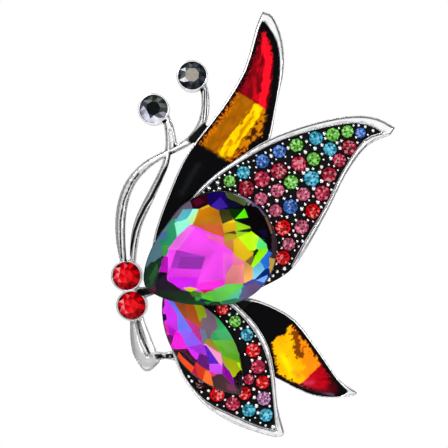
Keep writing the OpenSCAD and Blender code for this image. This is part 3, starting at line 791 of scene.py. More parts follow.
def forewing_paint(x, z, away):
    """The upper wing's colours: red above amber above black, and black around the edge, with a painted
    sheen on the black.
    """
    torn = ragged(x, z, 0.5, 5.0)
    border = side_of(x, z, (-0.7, 22.1), (3, 19.7)) + 0.12 * torn
    colour = mix(forewing_amber(x, z), forewing_red(x, z), smooth_step(-0.08, 0.08, border))
    foot = side_of(x, z, (-6.9, 13.2), (-2, 10.3)) + 0.25 * torn
    # Painted sheen: a soft reflection streak on the black enamel
    sheen = streak(x, z, (-7.8, 9.8), (-10.4, 5.2), 0.55 + 0.5 * torn)
    colour = mix(mix(BLACK, (19, 23, 26), sheen), colour, smooth_step(-0.4, 0.4, foot))
    if x > 0.9 + 0.16 * (z - 14):
        return mix(BLACK, colour, smooth_step(0.75, 1.0, away + 0.45 * torn))
    crumbs = away + 0.7 * ragged(x, z, 0.35, 11.0)
    if border < 0 < foot:
        colour = mix((226, 112, 0), colour, smooth_step(0.6, 0.8, crumbs))
    return mix(BLACK, colour, smooth_step(0.3, 0.5, crumbs))


TAIL_LINE = [(3.4, -21.4), (4.4, -19.9), (5.7, -18.5), (6.9, -18.4), (7.4, -17), (7.9, -16.6),
             (8.7, -17.2), (11, -14.5)]


def tail_amber(x, z):
    """Yellow to orange with a brown smudge."""
    torn = ragged(x, z, 0.9, 7.0)
    orange = smooth_step(-0.4, 0.5, x - 8.9 + 0.25 * (z + 20) + torn)
    amber = mix((250, 176, 2), (255, 138, 8), orange)
    amber = mix(amber, (255, 210, 0), streak(x, z, (6.6, -22.0), (8.2, -25.2), 0.8))
    amber = mix(amber, (216, 130, 22), 0.7 * streak(x, z, (8.4, -24.7), (9.1, -25.2), 0.5))
    smudge = streak(x, z, (8.6, -18.2), (9.2, -21.8), 0.85) + 0.55 * ragged(x, z, 0.8, 8.0)
    return mix(amber, (122, 58, 2), smooth_step(0.52, 0.64, smudge))


def tail_red(x, z):
    """Brushed red, rosy below and dark toward the tip."""
    torn = brushed(x, z, (9, -26), (16, -28), 1.6, 0.6, 9.0)
    red = mix((186, 0, 20), (150, 0, 14), smooth_step(-0.2, 0.2, torn))
    red = mix(red, (196, 44, 78), 0.85 * streak(x, z, (9.9, -26.6), (11.4, -26.4), 0.6))
    red = mix(red, (86, 8, 24), streak(x, z, (10.2, -27.7), (14.4, -28.2), 0.5))
    return mix(red, (52, 0, 6), smooth_step(13.4, 15.6, x + 0.5 * torn))


def tail_paint(x, z, away):
    """The lower wing's colours: black above a ragged line, then amber, then red to a black tip."""
    torn = ragged(x, z, 0.6, 7.0)
    border = side_of(x, z, (13.6, -22.7), (8.6, -27.6)) + 0.16 * torn
    colour = mix(tail_amber(x, z), tail_red(x, z), smooth_step(-0.12, 0.12, border))
    passed = [a for a in TAIL_LINE[:-1] if a[0] <= x]
    index = min(max(len(passed) - 1, 0), len(TAIL_LINE) - 2)
    root = side_of(x, z, TAIL_LINE[index], TAIL_LINE[index + 1]) + 0.25 * ragged(x, z, 0.35, 2.0)
    rough = away + 0.6 * ragged(x, z, 0.5, 14.0)
    colour = mix((36, 6, 2), colour, smooth_step(0.45, 0.6, rough))
    colour = mix(colour, BLACK, smooth_step(-0.12, 0.12, root))
    colour = mix(BLACK, colour, smooth_step(0.15, 0.4, away))
    colour = mix(colour, BLACK, smooth_step(15.6, 16.2, x))
    band = streak(x, z, (9.5, -26.8), (15, -28.6), 0.3) * (1 - smooth_step(0.3, 0.6, away))
    return mix(colour, (110, 90, 112), 0.7 * band)


# ---- Cut stones ----

@dataclass
class Cut:
    """The proportions of a brilliant-cut stone, in millimetres. table and mid are shares of its
    outline, and mid_height is a share of its crown."""
    mains: int
    crown: float
    girdle: float
    depth: float
    table: float
    mid: float = 0.8
    mid_height: float = 0.5


def brilliant(cut, reach, turn=0.0):
    """Points, faces and the kind of each face of a cut stone that stands on the origin, girdle at
    height 0, crown upward. reach gives its outline's distance at an angle."""
    n = cut.mains

    def ring(count, offset, share, height):
        angles = [turn + (2 * math.pi / count) * (k + offset) for k in range(count)]
        return [(share * reach(angle) * math.cos(angle), share * reach(angle) * math.sin(angle), height)
                for angle in angles]

    points = ring(n, 0.0, cut.table, cut.girdle + cut.crown)
    points += ring(n, 0.5, cut.mid, cut.girdle + cut.crown * cut.mid_height)
    points += ring(2 * n, 0.0, 1.0, cut.girdle)
    points += ring(2 * n, 0.0, 1.0, 0.0)
    points += ring(n, 0.0, 0.4, -0.6 * cut.depth)
    points += [(0, 0, cut.girdle + cut.crown), (0, 0, -cut.depth)]
    table, mid, top, bottom, low = 0, n, 2 * n, 4 * n, 6 * n
    centre, culet = 7 * n, 7 * n + 1
    faces, kinds = [], []

    def add(kind, index, *ring_points):
        faces.append(list(ring_points))
        kinds.append((kind, index))

    for k in range(n):
        after, before = (k + 1) % n, (k - 1) % n
        add("table", k, table + k, table + after, centre)
        add("star", k, table + k, mid + k, table + after)
        add("kite", 2 * k, table + k, top + 2 * k, mid + k)
        add("kite", 2 * k + 1, table + k, mid + before, top + 2 * k)
        add("edge", 2 * k, mid + k, top + 2 * k, top + 2 * k + 1)
        add("edge", 2 * k + 1, mid + k, top + 2 * k + 1, top + 2 * after)
        for m in (2 * k, 2 * k + 1):
            beyond = (m + 1) % (2 * n)
            add("girdle", m, top + m, bottom + m, bottom + beyond, top + beyond)
        add("lower", 2 * k, bottom + 2 * k, low + k, bottom + 2 * k + 1)
        add("lower", 2 * k + 1, bottom + 2 * k + 1, low + k, low + after)
        add("lower", 2 * k + 1, bottom + 2 * k + 1, low + after, bottom + 2 * after)
        add("culet", k, low + k, culet, low + after)
    return points, faces, kinds


def seated(points, x, z, height, turn=0.0):
    """Carries a stone's points to a place on the dome, with its crown facing straight out."""
    outward = Vector((x, -(DOME_R + height), z)).normalized()
    right = Vector((1, 0, 0))
    right = (right - outward * right.dot(outward)).normalized()
    up = outward.cross(right)
    centre = Vector((0, DOME_R, 0)) + outward * (DOME_R + height)
    c, s = math.cos(turn), math.sin(turn)
    return [tuple(centre + right * (c * p[0] - s * p[1]) + up * (s * p[0] + c * p[1]) + outward * p[2])
            for p in points]


GLASS_COLOURS = {
    "peridots": (120, 206, 80),
    "aquas": (70, 182, 212),
    "sapphires": (66, 118, 205),
    "roses": (196, 38, 74),
    "rubies": (170, 24, 52),
    "light_roses": (206, 92, 124),
    "siams": (226, 8, 16),
    "lilacs": (204, 142, 192),
    "garnets": (66, 10, 22),
}
PAVE_CUT = Cut(mains=8, crown=0.5, girdle=0.12, depth=0.8, table=0.5)
CUP_CUT = Cut(mains=8, crown=0.95, girdle=0.12, depth=1.45, table=0.52, mid=0.76)


def round_solids(node):
    """The separate round solids of a CAD node from left to right, each as (x, z, radius)."""
    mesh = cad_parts[node].data
    points = mesh_points(mesh)
    places = {}
    place = [places.setdefault(tuple(np.round(p, 3)), len(places)) for p in points]
    leader = list(range(len(places)))

    def first_of(k):
        while leader[k] != k:
            leader[k] = leader[leader[k]]
            k = leader[k]
        return k

    for face in mesh.polygons:
        first = first_of(place[face.vertices[0]])
        for v in face.vertices[1:]:
            leader[first_of(place[v])] = first
    solids = {}
    for v, k in enumerate(place):
        solids.setdefault(first_of(k), []).append(v)
    boxes = [(points[solid].min(0), points[solid].max(0)) for solid in solids.values()]
    boxes.sort(key=lambda box: (round(box[0][0], 2), round(box[0][2], 2)))
    return [((low[0] + high[0]) / 2, (low[2] + high[2]) / 2, (high[0] - low[0]) / 2)
            for low, high in boxes]


def sparkle(base, pick):
    """A function that gives each facet the glass's colour in shade, plain, lit, or flashing."""
    lights = {"table": (0.25, 0.6, 1.0, 1.5), "star": (0.06, 0.2, 0.7, 1.9),
              "kite": (0.3, 0.7, 1.0, 1.5), "edge": (0.1, 0.3, 0.65)}

    def colour(kind):
        if kind not in lights:
            return [0.08 * c for c in base]
        light = pick.choice(lights[kind])
        lit = [c * min(light, 1.0) for c in base]
        return mix(lit, (0.95, 0.93, 0.93), max(0.0, light - 1.0) * 0.3)

    return colour


def pave_group(node):
    """Cut stones in the places of one CAD group of set stones."""
    base = linear(GLASS_COLOURS[node.split("_", 1)[1]])
    pick = random.Random(node)
    points, faces, colours = [], [], []
    for x, z, radius in round_solids(node):
        turn = pick.uniform(0, math.pi)
        stone, stone_faces, kinds = brilliant(PAVE_CUT, lambda angle: radius, turn)
        start = len(points)
        points += seated(stone, x, z, SEAT_Z)
        faces += [[start + v for v in face] for face in stone_faces]
        facet = sparkle(base, pick)
        colours += [facet(kind) for kind, index in kinds]
    obj = make_piece(node + "_cut", points, faces, stone_foil, [node])
    paint_faces(obj, colours)
    return obj


def cup_stone(node, shades, turn):
    """One of the four large round stones. shades gives the colours of each kind of facet in turn,
    anticlockwise from the right, with light and shade painted in them."""
    x, z, radius = round_solids(node)[0]
    stone, faces, kinds = brilliant(CUP_CUT, lambda angle: radius, turn)
    points = seated(stone, x, z, ENAMEL_RIM_Z + 0.25)
    obj = make_piece(node + "_cut", points, faces, cup_foil, [node])
    rows = [(shades.get(kind, UNSEEN_SHADES), index) for kind, index in kinds]
    paint_faces(obj, [linear(row[index % len(row)]) for row, index in rows])
    return obj


UNSEEN_SHADES = [(20, 10, 12)]
# Facet colours with painted light and shade: dark facets, lit ones, and pale flashes of painted
# reflection
RED_FACET_LIGHT_AND_SHADE = {
    "table": [(236, 20, 30), (214, 6, 18), (240, 34, 44), (196, 0, 14), (226, 10, 22), (236, 30, 40),
              (206, 4, 16), (230, 16, 26)],
    "star": [(190, 0, 12), (150, 0, 10), (214, 10, 20), (250, 120, 130), (240, 90, 100), (170, 0, 12),
             (120, 0, 8), (200, 4, 16)],
    "kite": [(206, 4, 14), (140, 0, 8), (220, 12, 22), (120, 0, 8), (180, 0, 12), (240, 60, 70),
             (226, 20, 30), (250, 140, 146), (210, 10, 20), (236, 70, 80), (130, 0, 8), (190, 0, 12),
             (100, 0, 6), (160, 0, 10), (210, 8, 18), (150, 0, 8)],
    "edge": [(150, 0, 10), (90, 0, 6), (190, 4, 14), (110, 0, 8)],
    "girdle": [(70, 0, 6)],
}
DARK_TABLE_FACET_LIGHT_AND_SHADE = {
    "table": [(12, 13, 15), (14, 16, 18)],
    "star": [(96, 104, 100), (70, 78, 76), (120, 126, 122), (60, 62, 70), (190, 186, 204), (60, 60, 68),
             (90, 92, 96), (50, 54, 56)],
    "kite": [(92, 100, 96), (60, 66, 64), (110, 116, 110), (46, 50, 50), (84, 90, 86), (36, 40, 42),
             (60, 62, 68), (120, 122, 134), (150, 152, 166), (196, 200, 218), (222, 224, 240),
             (206, 210, 228), (232, 234, 246), (214, 216, 232), (150, 154, 166), (86, 90, 92)],
    "edge": [(70, 74, 76), (24, 26, 28), (74, 78, 78), (30, 32, 34), (50, 54, 54), (24, 26, 28),
             (60, 64, 66), (90, 92, 100), (130, 132, 144), (180, 184, 198), (214, 216, 230),
             (200, 204, 220), (226, 228, 240), (200, 202, 216), (140, 142, 152), (60, 64, 66)],
    "girdle": [(30, 32, 34)],
}
PALE_TABLE_FACET_LIGHT_AND_SHADE = {
    "table": [(160, 154, 142), (154, 148, 136)],
    "star": [(72, 80, 90), (46, 52, 60), (90, 98, 106), (92, 96, 100), (214, 214, 216), (60, 64, 72),
             (50, 56, 64), (36, 42, 50)],
    "kite": [(44, 50, 58), (26, 30, 38), (60, 66, 76), (34, 38, 46), (50, 54, 62), (88, 92, 98),
             (70, 74, 82), (232, 232, 236), (244, 244, 246), (96, 100, 106), (30, 34, 42),
             (20, 22, 28), (40, 44, 52), (26, 28, 34), (58, 62, 70), (32, 36, 44)],
    "edge": [(34, 38, 44), (16, 18, 22), (56, 60, 66), (24, 26, 30)],
    "girdle": [(26, 28, 32)],
}


# ---- The two large crystals ----

# Painted reflections: each facet's colour as the crystal shows it from the front, light, shade and glints
# included
PEAR_FACETS = [
    # Upper left: slate, teal and pale green
    ((86, 126, 138), [(-16, -6.5), (-13.4, -5), (-13, -3.5), (-11.9, 0.6), (-10, 3.2), (-12, 3),
        (-15, -1)]),
    ((96, 86, 106), [(-12.5, 1.2), (-11, 1), (-10, 2.6), (-8.4, 2.6), (-8.5, 4.6), (-11, 3.6)]),
    ((50, 166, 116), [(-11.8, 1), (-11.3, 0.4), (-11, -1.8), (-11.6, -3), (-12.9, -4.9), (-13.3, -4.6),
        (-13.8, -2.7), (-12.6, -1)]),
    ((76, 112, 160), [(-14.2, -1.6), (-12.6, -1), (-12.7, -2.2), (-14.2, -2.4)]),
    ((70, 160, 70), [(-13.3, -3.4), (-12, -3.2), (-12.9, -4.9), (-13.4, -4.8)]),
    ((95, 190, 205), [(-11.3, 0.5), (-9.4, 1), (-8.3, 2.6), (-9.4, 2.6), (-10.6, 1.6)]),
    ((155, 255, 220), [(-11.4, 0.3), (-9.2, 1), (-8.4, 2.6), (-7.3, 2.6), (-8.5, 0.1), (-9, 0),
        (-10.9, -1.9)]),
    ((200, 250, 160), [(-8.9, 1.2), (-7.4, 2.6), (-7.1, 2.6), (-8.4, 0.1), (-8.9, 0)]),
    # Top: wine, violet and navy
    ((45, 5, 25), [(-9, 4.4), (-8.4, 2.6), (-7.2, 2.7), (-5.9, 3.3), (-5.6, 5.6), (-7.5, 5.4)]),
    ((86, 6, 30), [(-8.4, 4), (-7.3, 4.4), (-6.4, 3.7), (-7.9, 3)]),
    ((25, 5, 95), [(-6.1, 5.6), (-2.8, 5.6), (-2.6, 2.8), (-4.5, 2.5), (-5.8, 3)]),
    ((62, 32, 164), [(-5.5, 3.1), (-3.9, 4.6), (-2.7, 2.9), (-4.3, 2.5)]),
    ((15, 12, 45), [(-3.4, 5.2), (-3, 4.4), (0.2, 3.2), (-2.5, 2.8)]),
    # Upper right: black with glints of green
    ((86, 100, 50), [(-3.3, 5.6), (-1.5, 5), (0.3, 3.8), (0, 3.1), (-2.8, 4.5)]),
    ((8, 6, 10), [(-2.5, 2.7), (0, 3.1), (2.4, 3), (4.2, 0), (4.4, -4), (3.7, -3.8), (1, -0.9), (1, -0.4),
        (-1.6, 0.8), (-2, 2.4)]),
    ((10, 54, 10), [(-2.4, 2.6), (-0.3, 2.6), (-1.6, 1), (-2.1, 1.4)]),
    ((90, 236, 10), [(0, 2.7), (0.6, 1.2), (-1.6, 0.95)]),
    ((16, 10, 46), [(2, -0.9), (3.6, -0.6), (3.7, -2.2)]),
    # Middle: amber and yellow
    ((206, 126, 10), [(-7.4, 2.6), (-5.9, 3.2), (-4.3, 2.4), (-3.5, 0), (-3.4, -2), (-8.3, 0)]),
    ((216, 96, 46), [(-8.2, 0.2), (-5.2, 0), (-3.6, 0.1), (-3.3, -2), (-6, -1.2)]),
    ((236, 200, 30), [(-7.2, 2.7), (-5.8, 3.3), (-5.6, 3), (-7.2, 2.4)]),
    ((60, 60, 16), [(-4.1, 2.3), (-2.6, 2.4), (-2, 1.1), (-2.4, 0.7), (-3.6, 0.3)]),
    ((226, 176, 5), [(-3.7, 0.1), (-1.9, 0.8), (-1.5, 0.6), (-1.4, -1.3), (-3, -1.3)]),
    ((246, 226, 20), [(-3.4, 0.2), (-1.9, 0.8), (-1.4, 0.5), (-2.6, 0.3)]),
    # Right: yellow-green, olive and lime
    ((160, 226, 16), [(-1.5, 0.6), (0.8, -0.2), (1, -0.5), (-0.5, -0.8), (-1.4, -0.5)]),
    ((14, 40, 10), [(-1.3, -1), (0.9, -0.5), (1.2, -0.9), (0.5, -1.2)]),
    ((150, 196, 30), [(-1.5, -1.2), (0.4, -1.1), (-1.2, -2)]),
    ((190, 170, 16), [(-3.1, -1.4), (-1.4, -1.5), (-1.2, -2.1), (-3.1, -2.6)]),
    ((76, 50, 10), [(-3.2, -1.3), (-1.6, -0.9), (-1.3, -1.4)]),
    ((206, 126, 70), [(-3.3, -2.5), (-1.8, -2.6), (-1.8, -4.5), (-3.3, -3.2)]),
    ((250, 204, 10), [(-1.8, -2.3), (-1, -2.1), (1.2, -4.3), (1.2, -4.9), (0, -5.9), (-1.7, -4.8)]),
    ((196, 255, 0), [(-1, -2), (1.1, -1), (2.3, -1.9), (1.8, -3.6), (0.8, -4.2)]),
    ((92, 255, 130), [(2.3, -1.9), (3.6, -3.1), (3.7, -3.9), (2, -3.7)]),
    ((160, 255, 10), [(2, -3.8), (3.8, -3.9), (3.6, -4.6), (1.5, -6.8), (1.1, -6.4), (1.8, -5.2),
        (2.2, -4.1)]),
    ((20, 52, 16), [(1.4, -4.2), (2.3, -4.1), (1.7, -4.9)]),
    ((130, 106, 46), [(0.2, -5.9), (1, -5.1), (1.6, -5.3), (1, -6.5)]),
    # The large pink table, with magenta and violet below it
    ((255, 74, 250), [(-8.8, 0), (-11, -2), (-12.6, -5), (-14, -7.5), (-12.5, -9), (-10, -10.4),
        (-7, -10.8), (-3, -9.6), (-3, -8), (-1.8, -6), (-1.8, -4.6), (-3.4, -3.3), (-3.4, -2.1),
        (-8.3, -0.1)]),
    ((255, 116, 245), [(-8.8, 0), (-10.9, -1.9), (-12.5, -4), (-10.8, -4), (-8, -0.4)]),
    ((255, 104, 186), [(-6.2, -1.3), (-3.4, -2.2), (-3.3, -3.2), (-6, -2.1)]),
    ((190, 56, 216), [(-11, -4), (-6.3, -5.1), (-7, -7.2), (-12, -7)]),
    ((166, 46, 192), [(-10.4, -5.2), (-6.4, -5.1), (-7, -7.1), (-10.8, -7)]),
    ((240, 56, 240), [(-12.3, -7), (-7, -7.2), (-7.6, -9.4), (-12.4, -8.3)]),
    ((222, 26, 250), [(-12.4, -8.4), (-7.7, -8.5), (-7.8, -10), (-10, -10.5), (-12.4, -9)]),
    ((255, 42, 226), [(-7.6, -9.4), (-3.2, -8.7), (-3, -9.8), (-7, -10.8), (-7.9, -10)]),
    ((255, 98, 236), [(-3.5, -4.4), (-1.8, -5), (-1.5, -6.5), (-3, -8), (-3.4, -9.3)]),
    ((200, 20, 200), [(-12.9, -5.1), (-12.4, -5.2), (-12.4, -8.2), (-13.9, -7.6)]),
    # Right of the table: salmon and orange
    ((255, 146, 146), [(-1.8, -6.2), (-0.1, -6.2), (-0.1, -9.4), (-3.2, -9.6), (-3, -8)]),
    ((255, 132, 172), [(-1.9, -4.7), (0, -5.9), (-0.1, -6.3), (-1.7, -6.6)]),
    ((255, 182, 96), [(0, -5.9), (1.1, -6.6), (1.3, -8.8), (0, -9.4), (-0.15, -7.5)]),
    # Lower right: sky blue, deep blue and slate
    ((130, 226, 255), [(1.4, -6.9), (2.5, -6), (3.2, -6.9), (3, -7.9), (1.5, -8.7)]),
    ((46, 130, 246), [(2.6, -5.8), (3.8, -4.2), (4, -5.6), (3.9, -7), (3.2, -7)]),
    ((10, 40, 126), [(1.7, -8.8), (3.3, -7.2), (4.1, -7.2), (4, -8.2), (2, -8.9)]),
    ((116, 180, 255), [(1.8, -9), (3.8, -8.1), (3.2, -9.5)]),
    ((66, 76, 166), [(-0.3, -9.6), (1.3, -8.8), (3.2, -9.4), (4, -8.4), (3, -10.4), (0, -10)]),
    ((100, 76, 120), [(0, -9.9), (1.8, -9.3), (3, -10.4), (1.5, -11.4), (0.4, -10.6)]),
    ((96, 96, 140), [(-0.1, -10), (0.4, -10.6), (1.6, -11.6), (-1.2, -12.8)]),
    # Bottom: greens, with dark ones toward the left
    ((96, 200, 76), [(-3, -9.6), (-0.2, -9.5), (-0.6, -10.3), (-3.8, -12.8), (-7, -11.5), (-5, -10.6)]),
    ((80, 186, 150), [(-0.5, -10.2), (-1.2, -12.6), (-3.9, -12.8)]),
    ((92, 226, 40), [(-7, -11.5), (-5.2, -11.4), (-5, -12.5), (-6.6, -12)]),
    ((12, 36, 12), [(-14.4, -10.7), (-9, -10.8), (-7, -13.2), (-11, -13)]),
    ((60, 126, 26), [(-9, -10.9), (-7.2, -10.9), (-7, -12), (-8.5, -11.6)]),
    ((226, 226, 40), [(-10, -10.2), (-8.8, -10), (-7.5, -10.4), (-8.8, -10.8)]),
    ((190, 10, 70), [(-7.4, -10.5), (-5, -10.5), (-6.3, -10.9)]),
    # Left point: dark violet, wine and green
    ((22, 4, 30), [(-14.9, -10.8), (-13.7, -7.6), (-12.6, -7.7), (-12.5, -9), (-10.2, -10.6)]),
    ((110, 16, 50), [(-15.5, -10.3), (-14.6, -9.9), (-14.4, -10.6), (-15.2, -11.3)]),
    ((25, 56, 36), [(-16, -7), (-13.3, -5), (-13.7, -7), (-14.8, -10), (-15.6, -10.6)]),
    ((46, 96, 50), [(-15.6, -8.6), (-14.2, -6.2), (-14, -7.5), (-15.2, -9.9)]),
    # Bottom edge: dark green with small glints
    ((12, 56, 24), [(-12.6, -12.3), (-9.5, -12.2), (-6.5, -12.4), (-4, -12.5), (-3.6, -13.2), (-7, -13.7),
        (-11, -13.2)]),
    ((44, 122, 84), [(-3.8, -12.4), (-1.4, -11.9), (-0.4, -12.4), (-3.4, -13.4)]),
    ((26, 170, 76), [(-8, -11.8), (-7.2, -11.8), (-7.4, -12.3), (-8, -12.3)]),
    ((16, 22, 76), [(-7.3, -12.1), (-6.3, -12.1), (-6.8, -12.8)]),
    ((16, 150, 76), [(-6.6, -12.5), (-5.4, -12.6), (-6, -13)]),
    # Right edge: the rim's reflection
    ((66, 46, 52), [(2.6, 3.2), (4.2, 1), (5, -2), (4.9, -5.5), (4.5, -4.5), (4.5, -1.5), (3.7, 0.9),
        (2.2, 2.9)]),
    ((200, 160, 72), [(4.1, -5.3), (4.9, -5.6), (4.9, -7.6), (4.2, -8.2)]),
    ((150, 138, 168), [(-1.8, 5.4), (0.6, 4.6), (1.5, 3.9), (1.1, 3.6), (0.1, 4.2), (-1.8, 5)]),
    ((96, 84, 116), [(1.5, 3.9), (2.9, 2.6), (3.6, 1.4), (3.2, 1.4), (2.3, 2.7), (1.1, 3.6)]),
    ((120, 84, 66), [(3.6, 1.4), (4.3, 0), (4.6, -1.4), (4.3, -1.4), (3.9, -0.2), (3.3, 1.2)]),
]

# Painted reflections: each facet's colour as the crystal shows it from the front, light, shade and glints
# included
NAVETTE_FACETS = [
    # Left: magenta and violet
    ((226, 56, 250), [(-14, -11), (-12.4, -12.4), (-11, -14.8), (-11, -16.5), (-11.2, -17.5),
        (-13, -16.3), (-13.8, -14)]),
    ((216, 30, 236), [(-13, -16.3), (-11.2, -17.4), (-11.8, -19.2), (-13.2, -18)]),
    ((236, 50, 180), [(-13.4, -16), (-12.6, -16.5), (-12.4, -18.2), (-13.4, -18.2)]),
    ((120, 10, 110), [(-13, -18.3), (-11.7, -18.2), (-11.9, -19.9), (-12.6, -19.8)]),
    ((255, 25, 230), [(-11.4, -17.6), (-10.4, -17.8), (-9.4, -20), (-9.3, -20.4), (-12.3, -20.6)]),
    ((46, 10, 76), [(-13.7, -14.7), (-12.9, -14.8), (-12.8, -15.6), (-13.3, -16)]),
    # Blue and violet down the middle of the upper half
    ((116, 122, 255), [(-12.9, -12), (-11.6, -12.7), (-10, -15.2), (-8.5, -17.6), (-9.8, -17.8),
        (-10.9, -17.4), (-11, -14.8)]),
    ((150, 96, 255), [(-10.9, -17.4), (-8.6, -17.5), (-6.9, -19.5), (-7.2, -20), (-9.6, -20),
        (-10.3, -18.2)]),
    # Top and right: brown, rose and olive
    ((188, 86, 26), [(-11.8, -12.3), (-10, -12.5), (-8.3, -13.3), (-7.3, -15.6), (-7.1, -16.4),
        (-7.4, -17), (-10, -15)]),
    ((166, 80, 36), [(-11.8, -12.3), (-9.9, -12.5), (-9.4, -15.2), (-10.2, -14.9)]),
    ((206, 46, 150), [(-10, -15.1), (-7.4, -16.8), (-7.1, -19.4), (-8.6, -17.4)]),
    ((146, 166, 16), [(-8.4, -12.8), (-6.9, -12.9), (-6.1, -15.3), (-7, -15.5), (-7.3, -16)]),
    # Right edge: grey-violet, then greens
    ((120, 96, 116), [(-6.8, -13.4), (-5.6, -13.9), (-4.8, -15.2), (-4.3, -16.8), (-5.5, -18.2),
        (-6.2, -18.7), (-7.1, -17), (-7, -15.4), (-6.1, -15.2)]),
    ((100, 116, 140), [(-7.2, -17), (-6.4, -17.3), (-6, -18.7), (-6.6, -18.8), (-7.3, -17.8)]),
    ((50, 170, 96), [(-4.9, -15), (-3.8, -15.4), (-2.1, -18.3), (-1.9, -19), (-5, -19.1), (-5.5, -18.2),
        (-4.3, -16.8)]),
    ((100, 186, 36), [(-5.2, -19), (-2, -19), (-0.8, -21), (-0.4, -22.9), (-2.7, -21.9), (-3.6, -21.7),
        (-4, -21)]),
    ((176, 150, 46), [(-6.2, -19.1), (-5.5, -18.8), (-3.8, -21), (-3.5, -22.2), (-4.4, -21),
        (-6.2, -19.6)]),
    ((166, 180, 10), [(-3.6, -22.3), (-2.8, -21.9), (-0.7, -22.9), (-0.6, -23.6), (-1.6, -25.2),
        (-3.4, -22.8)]),
    ((200, 255, 20), [(-1.2, -22.7), (-0.7, -22.9), (-0.6, -23.8), (-0.9, -23.6)]),
    # Middle: pink, violet and purple
    ((255, 156, 210), [(-6.2, -19.8), (-4.4, -20.9), (-3.8, -21.2), (-3.6, -23.2), (-4, -22.9),
        (-5.8, -20.5)]),
    ((176, 46, 230), [(-9.3, -20.1), (-6.9, -19.6), (-6.3, -20.8), (-6.6, -21.6), (-7.3, -21.2),
        (-7.8, -21.5), (-8.2, -20.9)]),
    ((226, 40, 250), [(-9.3, -20.2), (-8.3, -20.7), (-7.4, -21.3), (-7.8, -22.3), (-9, -21.2)]),
    ((86, 26, 200), [(-6.5, -20), (-6.1, -20.1), (-4.1, -23), (-5.8, -22.9), (-6.1, -21.5)]),
    ((106, 16, 126), [(-7.1, -21.2), (-6.1, -21.8), (-5.7, -23.9), (-6.4, -23.8), (-7.8, -22.3)]),
    ((216, 76, 255), [(-5.8, -22.9), (-4.1, -22.9), (-3.6, -23.3), (-3.6, -24.6), (-5.7, -24.1)]),
    ((140, 0, 150), [(-3.6, -22.6), (-1.9, -25.2), (-1.8, -26.5), (-2.6, -26.1), (-3.6, -24.6)]),
    # Lower left: black, then orange and red toward the point
    ((80, 5, 50), [(-12.2, -20.7), (-9.4, -20.4), (-7.9, -22.5), (-8.2, -22.9), (-9.9, -21.2)]),
    ((10, 2, 8), [(-12.2, -20.8), (-10.4, -20.9), (-8.1, -22.9), (-8.4, -23.4), (-10, -22), (-10.8, -21),
        (-11.3, -22.6)]),
    ((255, 76, 20), [(-10.9, -21.2), (-10, -22), (-8.3, -23.5), (-8.6, -24.9), (-9.8, -23.8),
        (-11.2, -22.3)]),
    ((186, 16, 60), [(-8.1, -22.9), (-7.9, -24.2), (-7.4, -25.9), (-8.8, -24.9), (-8.3, -23.6)]),
    ((220, 46, 10), [(-8, -23), (-6.2, -23.9), (-6.4, -24.5), (-6.8, -26), (-7.4, -25.8), (-7.9, -24.2)]),
    ((255, 116, 36), [(-6.4, -24), (-5.7, -24.2), (-5, -27.1), (-6, -26.9), (-6.9, -26)]),
    ((226, 30, 110), [(-5.6, -24.3), (-4.7, -24.7), (-4.8, -25.4), (-5.4, -25)]),
    # Lower point: brown and black
    ((72, 42, 46), [(-5.4, -25.1), (-3.6, -24.7), (-1.6, -26.8), (-0.6, -28), (-3, -27.9), (-5, -27)]),
    ((112, 46, 76), [(-3, -26.2), (-1.6, -26.6), (-1.2, -27.7), (-2.7, -27.6)]),
    ((15, 5, 12), [(-1.7, -25.4), (-0.6, -24), (-0.2, -26.8), (-1.2, -26.9)]),
]


def facet_at(x, z, facets):
    """The number of the facet that shows at a place, or -1 in the dark between them."""
    for n in reversed(range(len(facets))):
        if in_outline(x, z, facets[n][1]):
            return n
    gap, n = min((path_distance(x, z, ring + ring[:1]), n) for n, (colour, ring) in enumerate(facets))
    return n if gap < FACET_GAP else -1


def mosaic(name, outline, facets, ground, crown, material):
    """The coated facets seen in a crystal, with the light, reflections and glints they show from the
    front painted into their colours, as a thin foil just below its crown. It is cut along the facets'
    outlines and the crown's own edges. Where facets overlap, the later one shows."""
    crown_points, crown_faces = crown
    rings = [outline] + [ring for colour, ring in facets]
    rings += [[(crown_points[v][0], crown_points[v][2]) for v in face] for face in crown_faces]
    corners, edges = [], []
    for ring in rings:
        start = len(corners)
        corners += [Vector(p) for p in ring]
        edges += [(start + k, start + (k + 1) % len(ring)) for k in range(len(ring))]
    flat, _, cells, *_ = geometry.delaunay_2d_cdt(corners, edges, [], 0, 0.001)
    tree = BVHTree.FromPolygons([Vector(p) for p in crown_points], crown_faces)
    lowest = max(crown_points[v][1] for face in crown_faces for v in face)
    points = []
    for p in flat:
        hit = front_hit(tree, p.x, p.y)
        points.append((p.x, (hit.y if hit else lowest) + FOIL_DEPTH, p.y))
    points += [(x, y + FOIL_DEPTH, z) for x, y, z in points]
    top, colours = [], []
    for cell in cells:
        middle = sum((flat[v] for v in cell), Vector((0, 0))) / len(cell)
        if not in_outline(middle.x, middle.y, outline):
            continue
        number = facet_at(middle.x, middle.y, facets)
        shade = linear(facets[number][0] if number >= 0 else ground)
        # Painted light that rises and falls softly across each facet
        lights = [1 + 0.5 * grain(flat[v].x, flat[v].y, 4.0, number) for v in cell]
        top.append(list(cell))
        colours.append([[c * light for c in shade] for light in lights])
    faces = slab(top, len(flat))
    colours += [tints[::-1] for tints in colours]
    colours += [[linear(ground)] * 4] * (len(faces) - len(colours))
    obj = make_piece(name, points, faces, material)
    store_paint(obj, "CORNER", [tint for tints in colours for tint in tints])
    return obj


def pear_reach(angle):
    """Distance from the pear's centre to its outline, as in the CAD."""
    off = abs((math.degrees(angle) - PEAR_TURN + 900) % 360 - 180)
    share = math.hypot(off, PEAR_TIP_ROUND) / PEAR_TIP_SPREAD
    return PEAR_R + PEAR_TIP * max(1 - share, 0) ** PEAR_SIDE_POWER


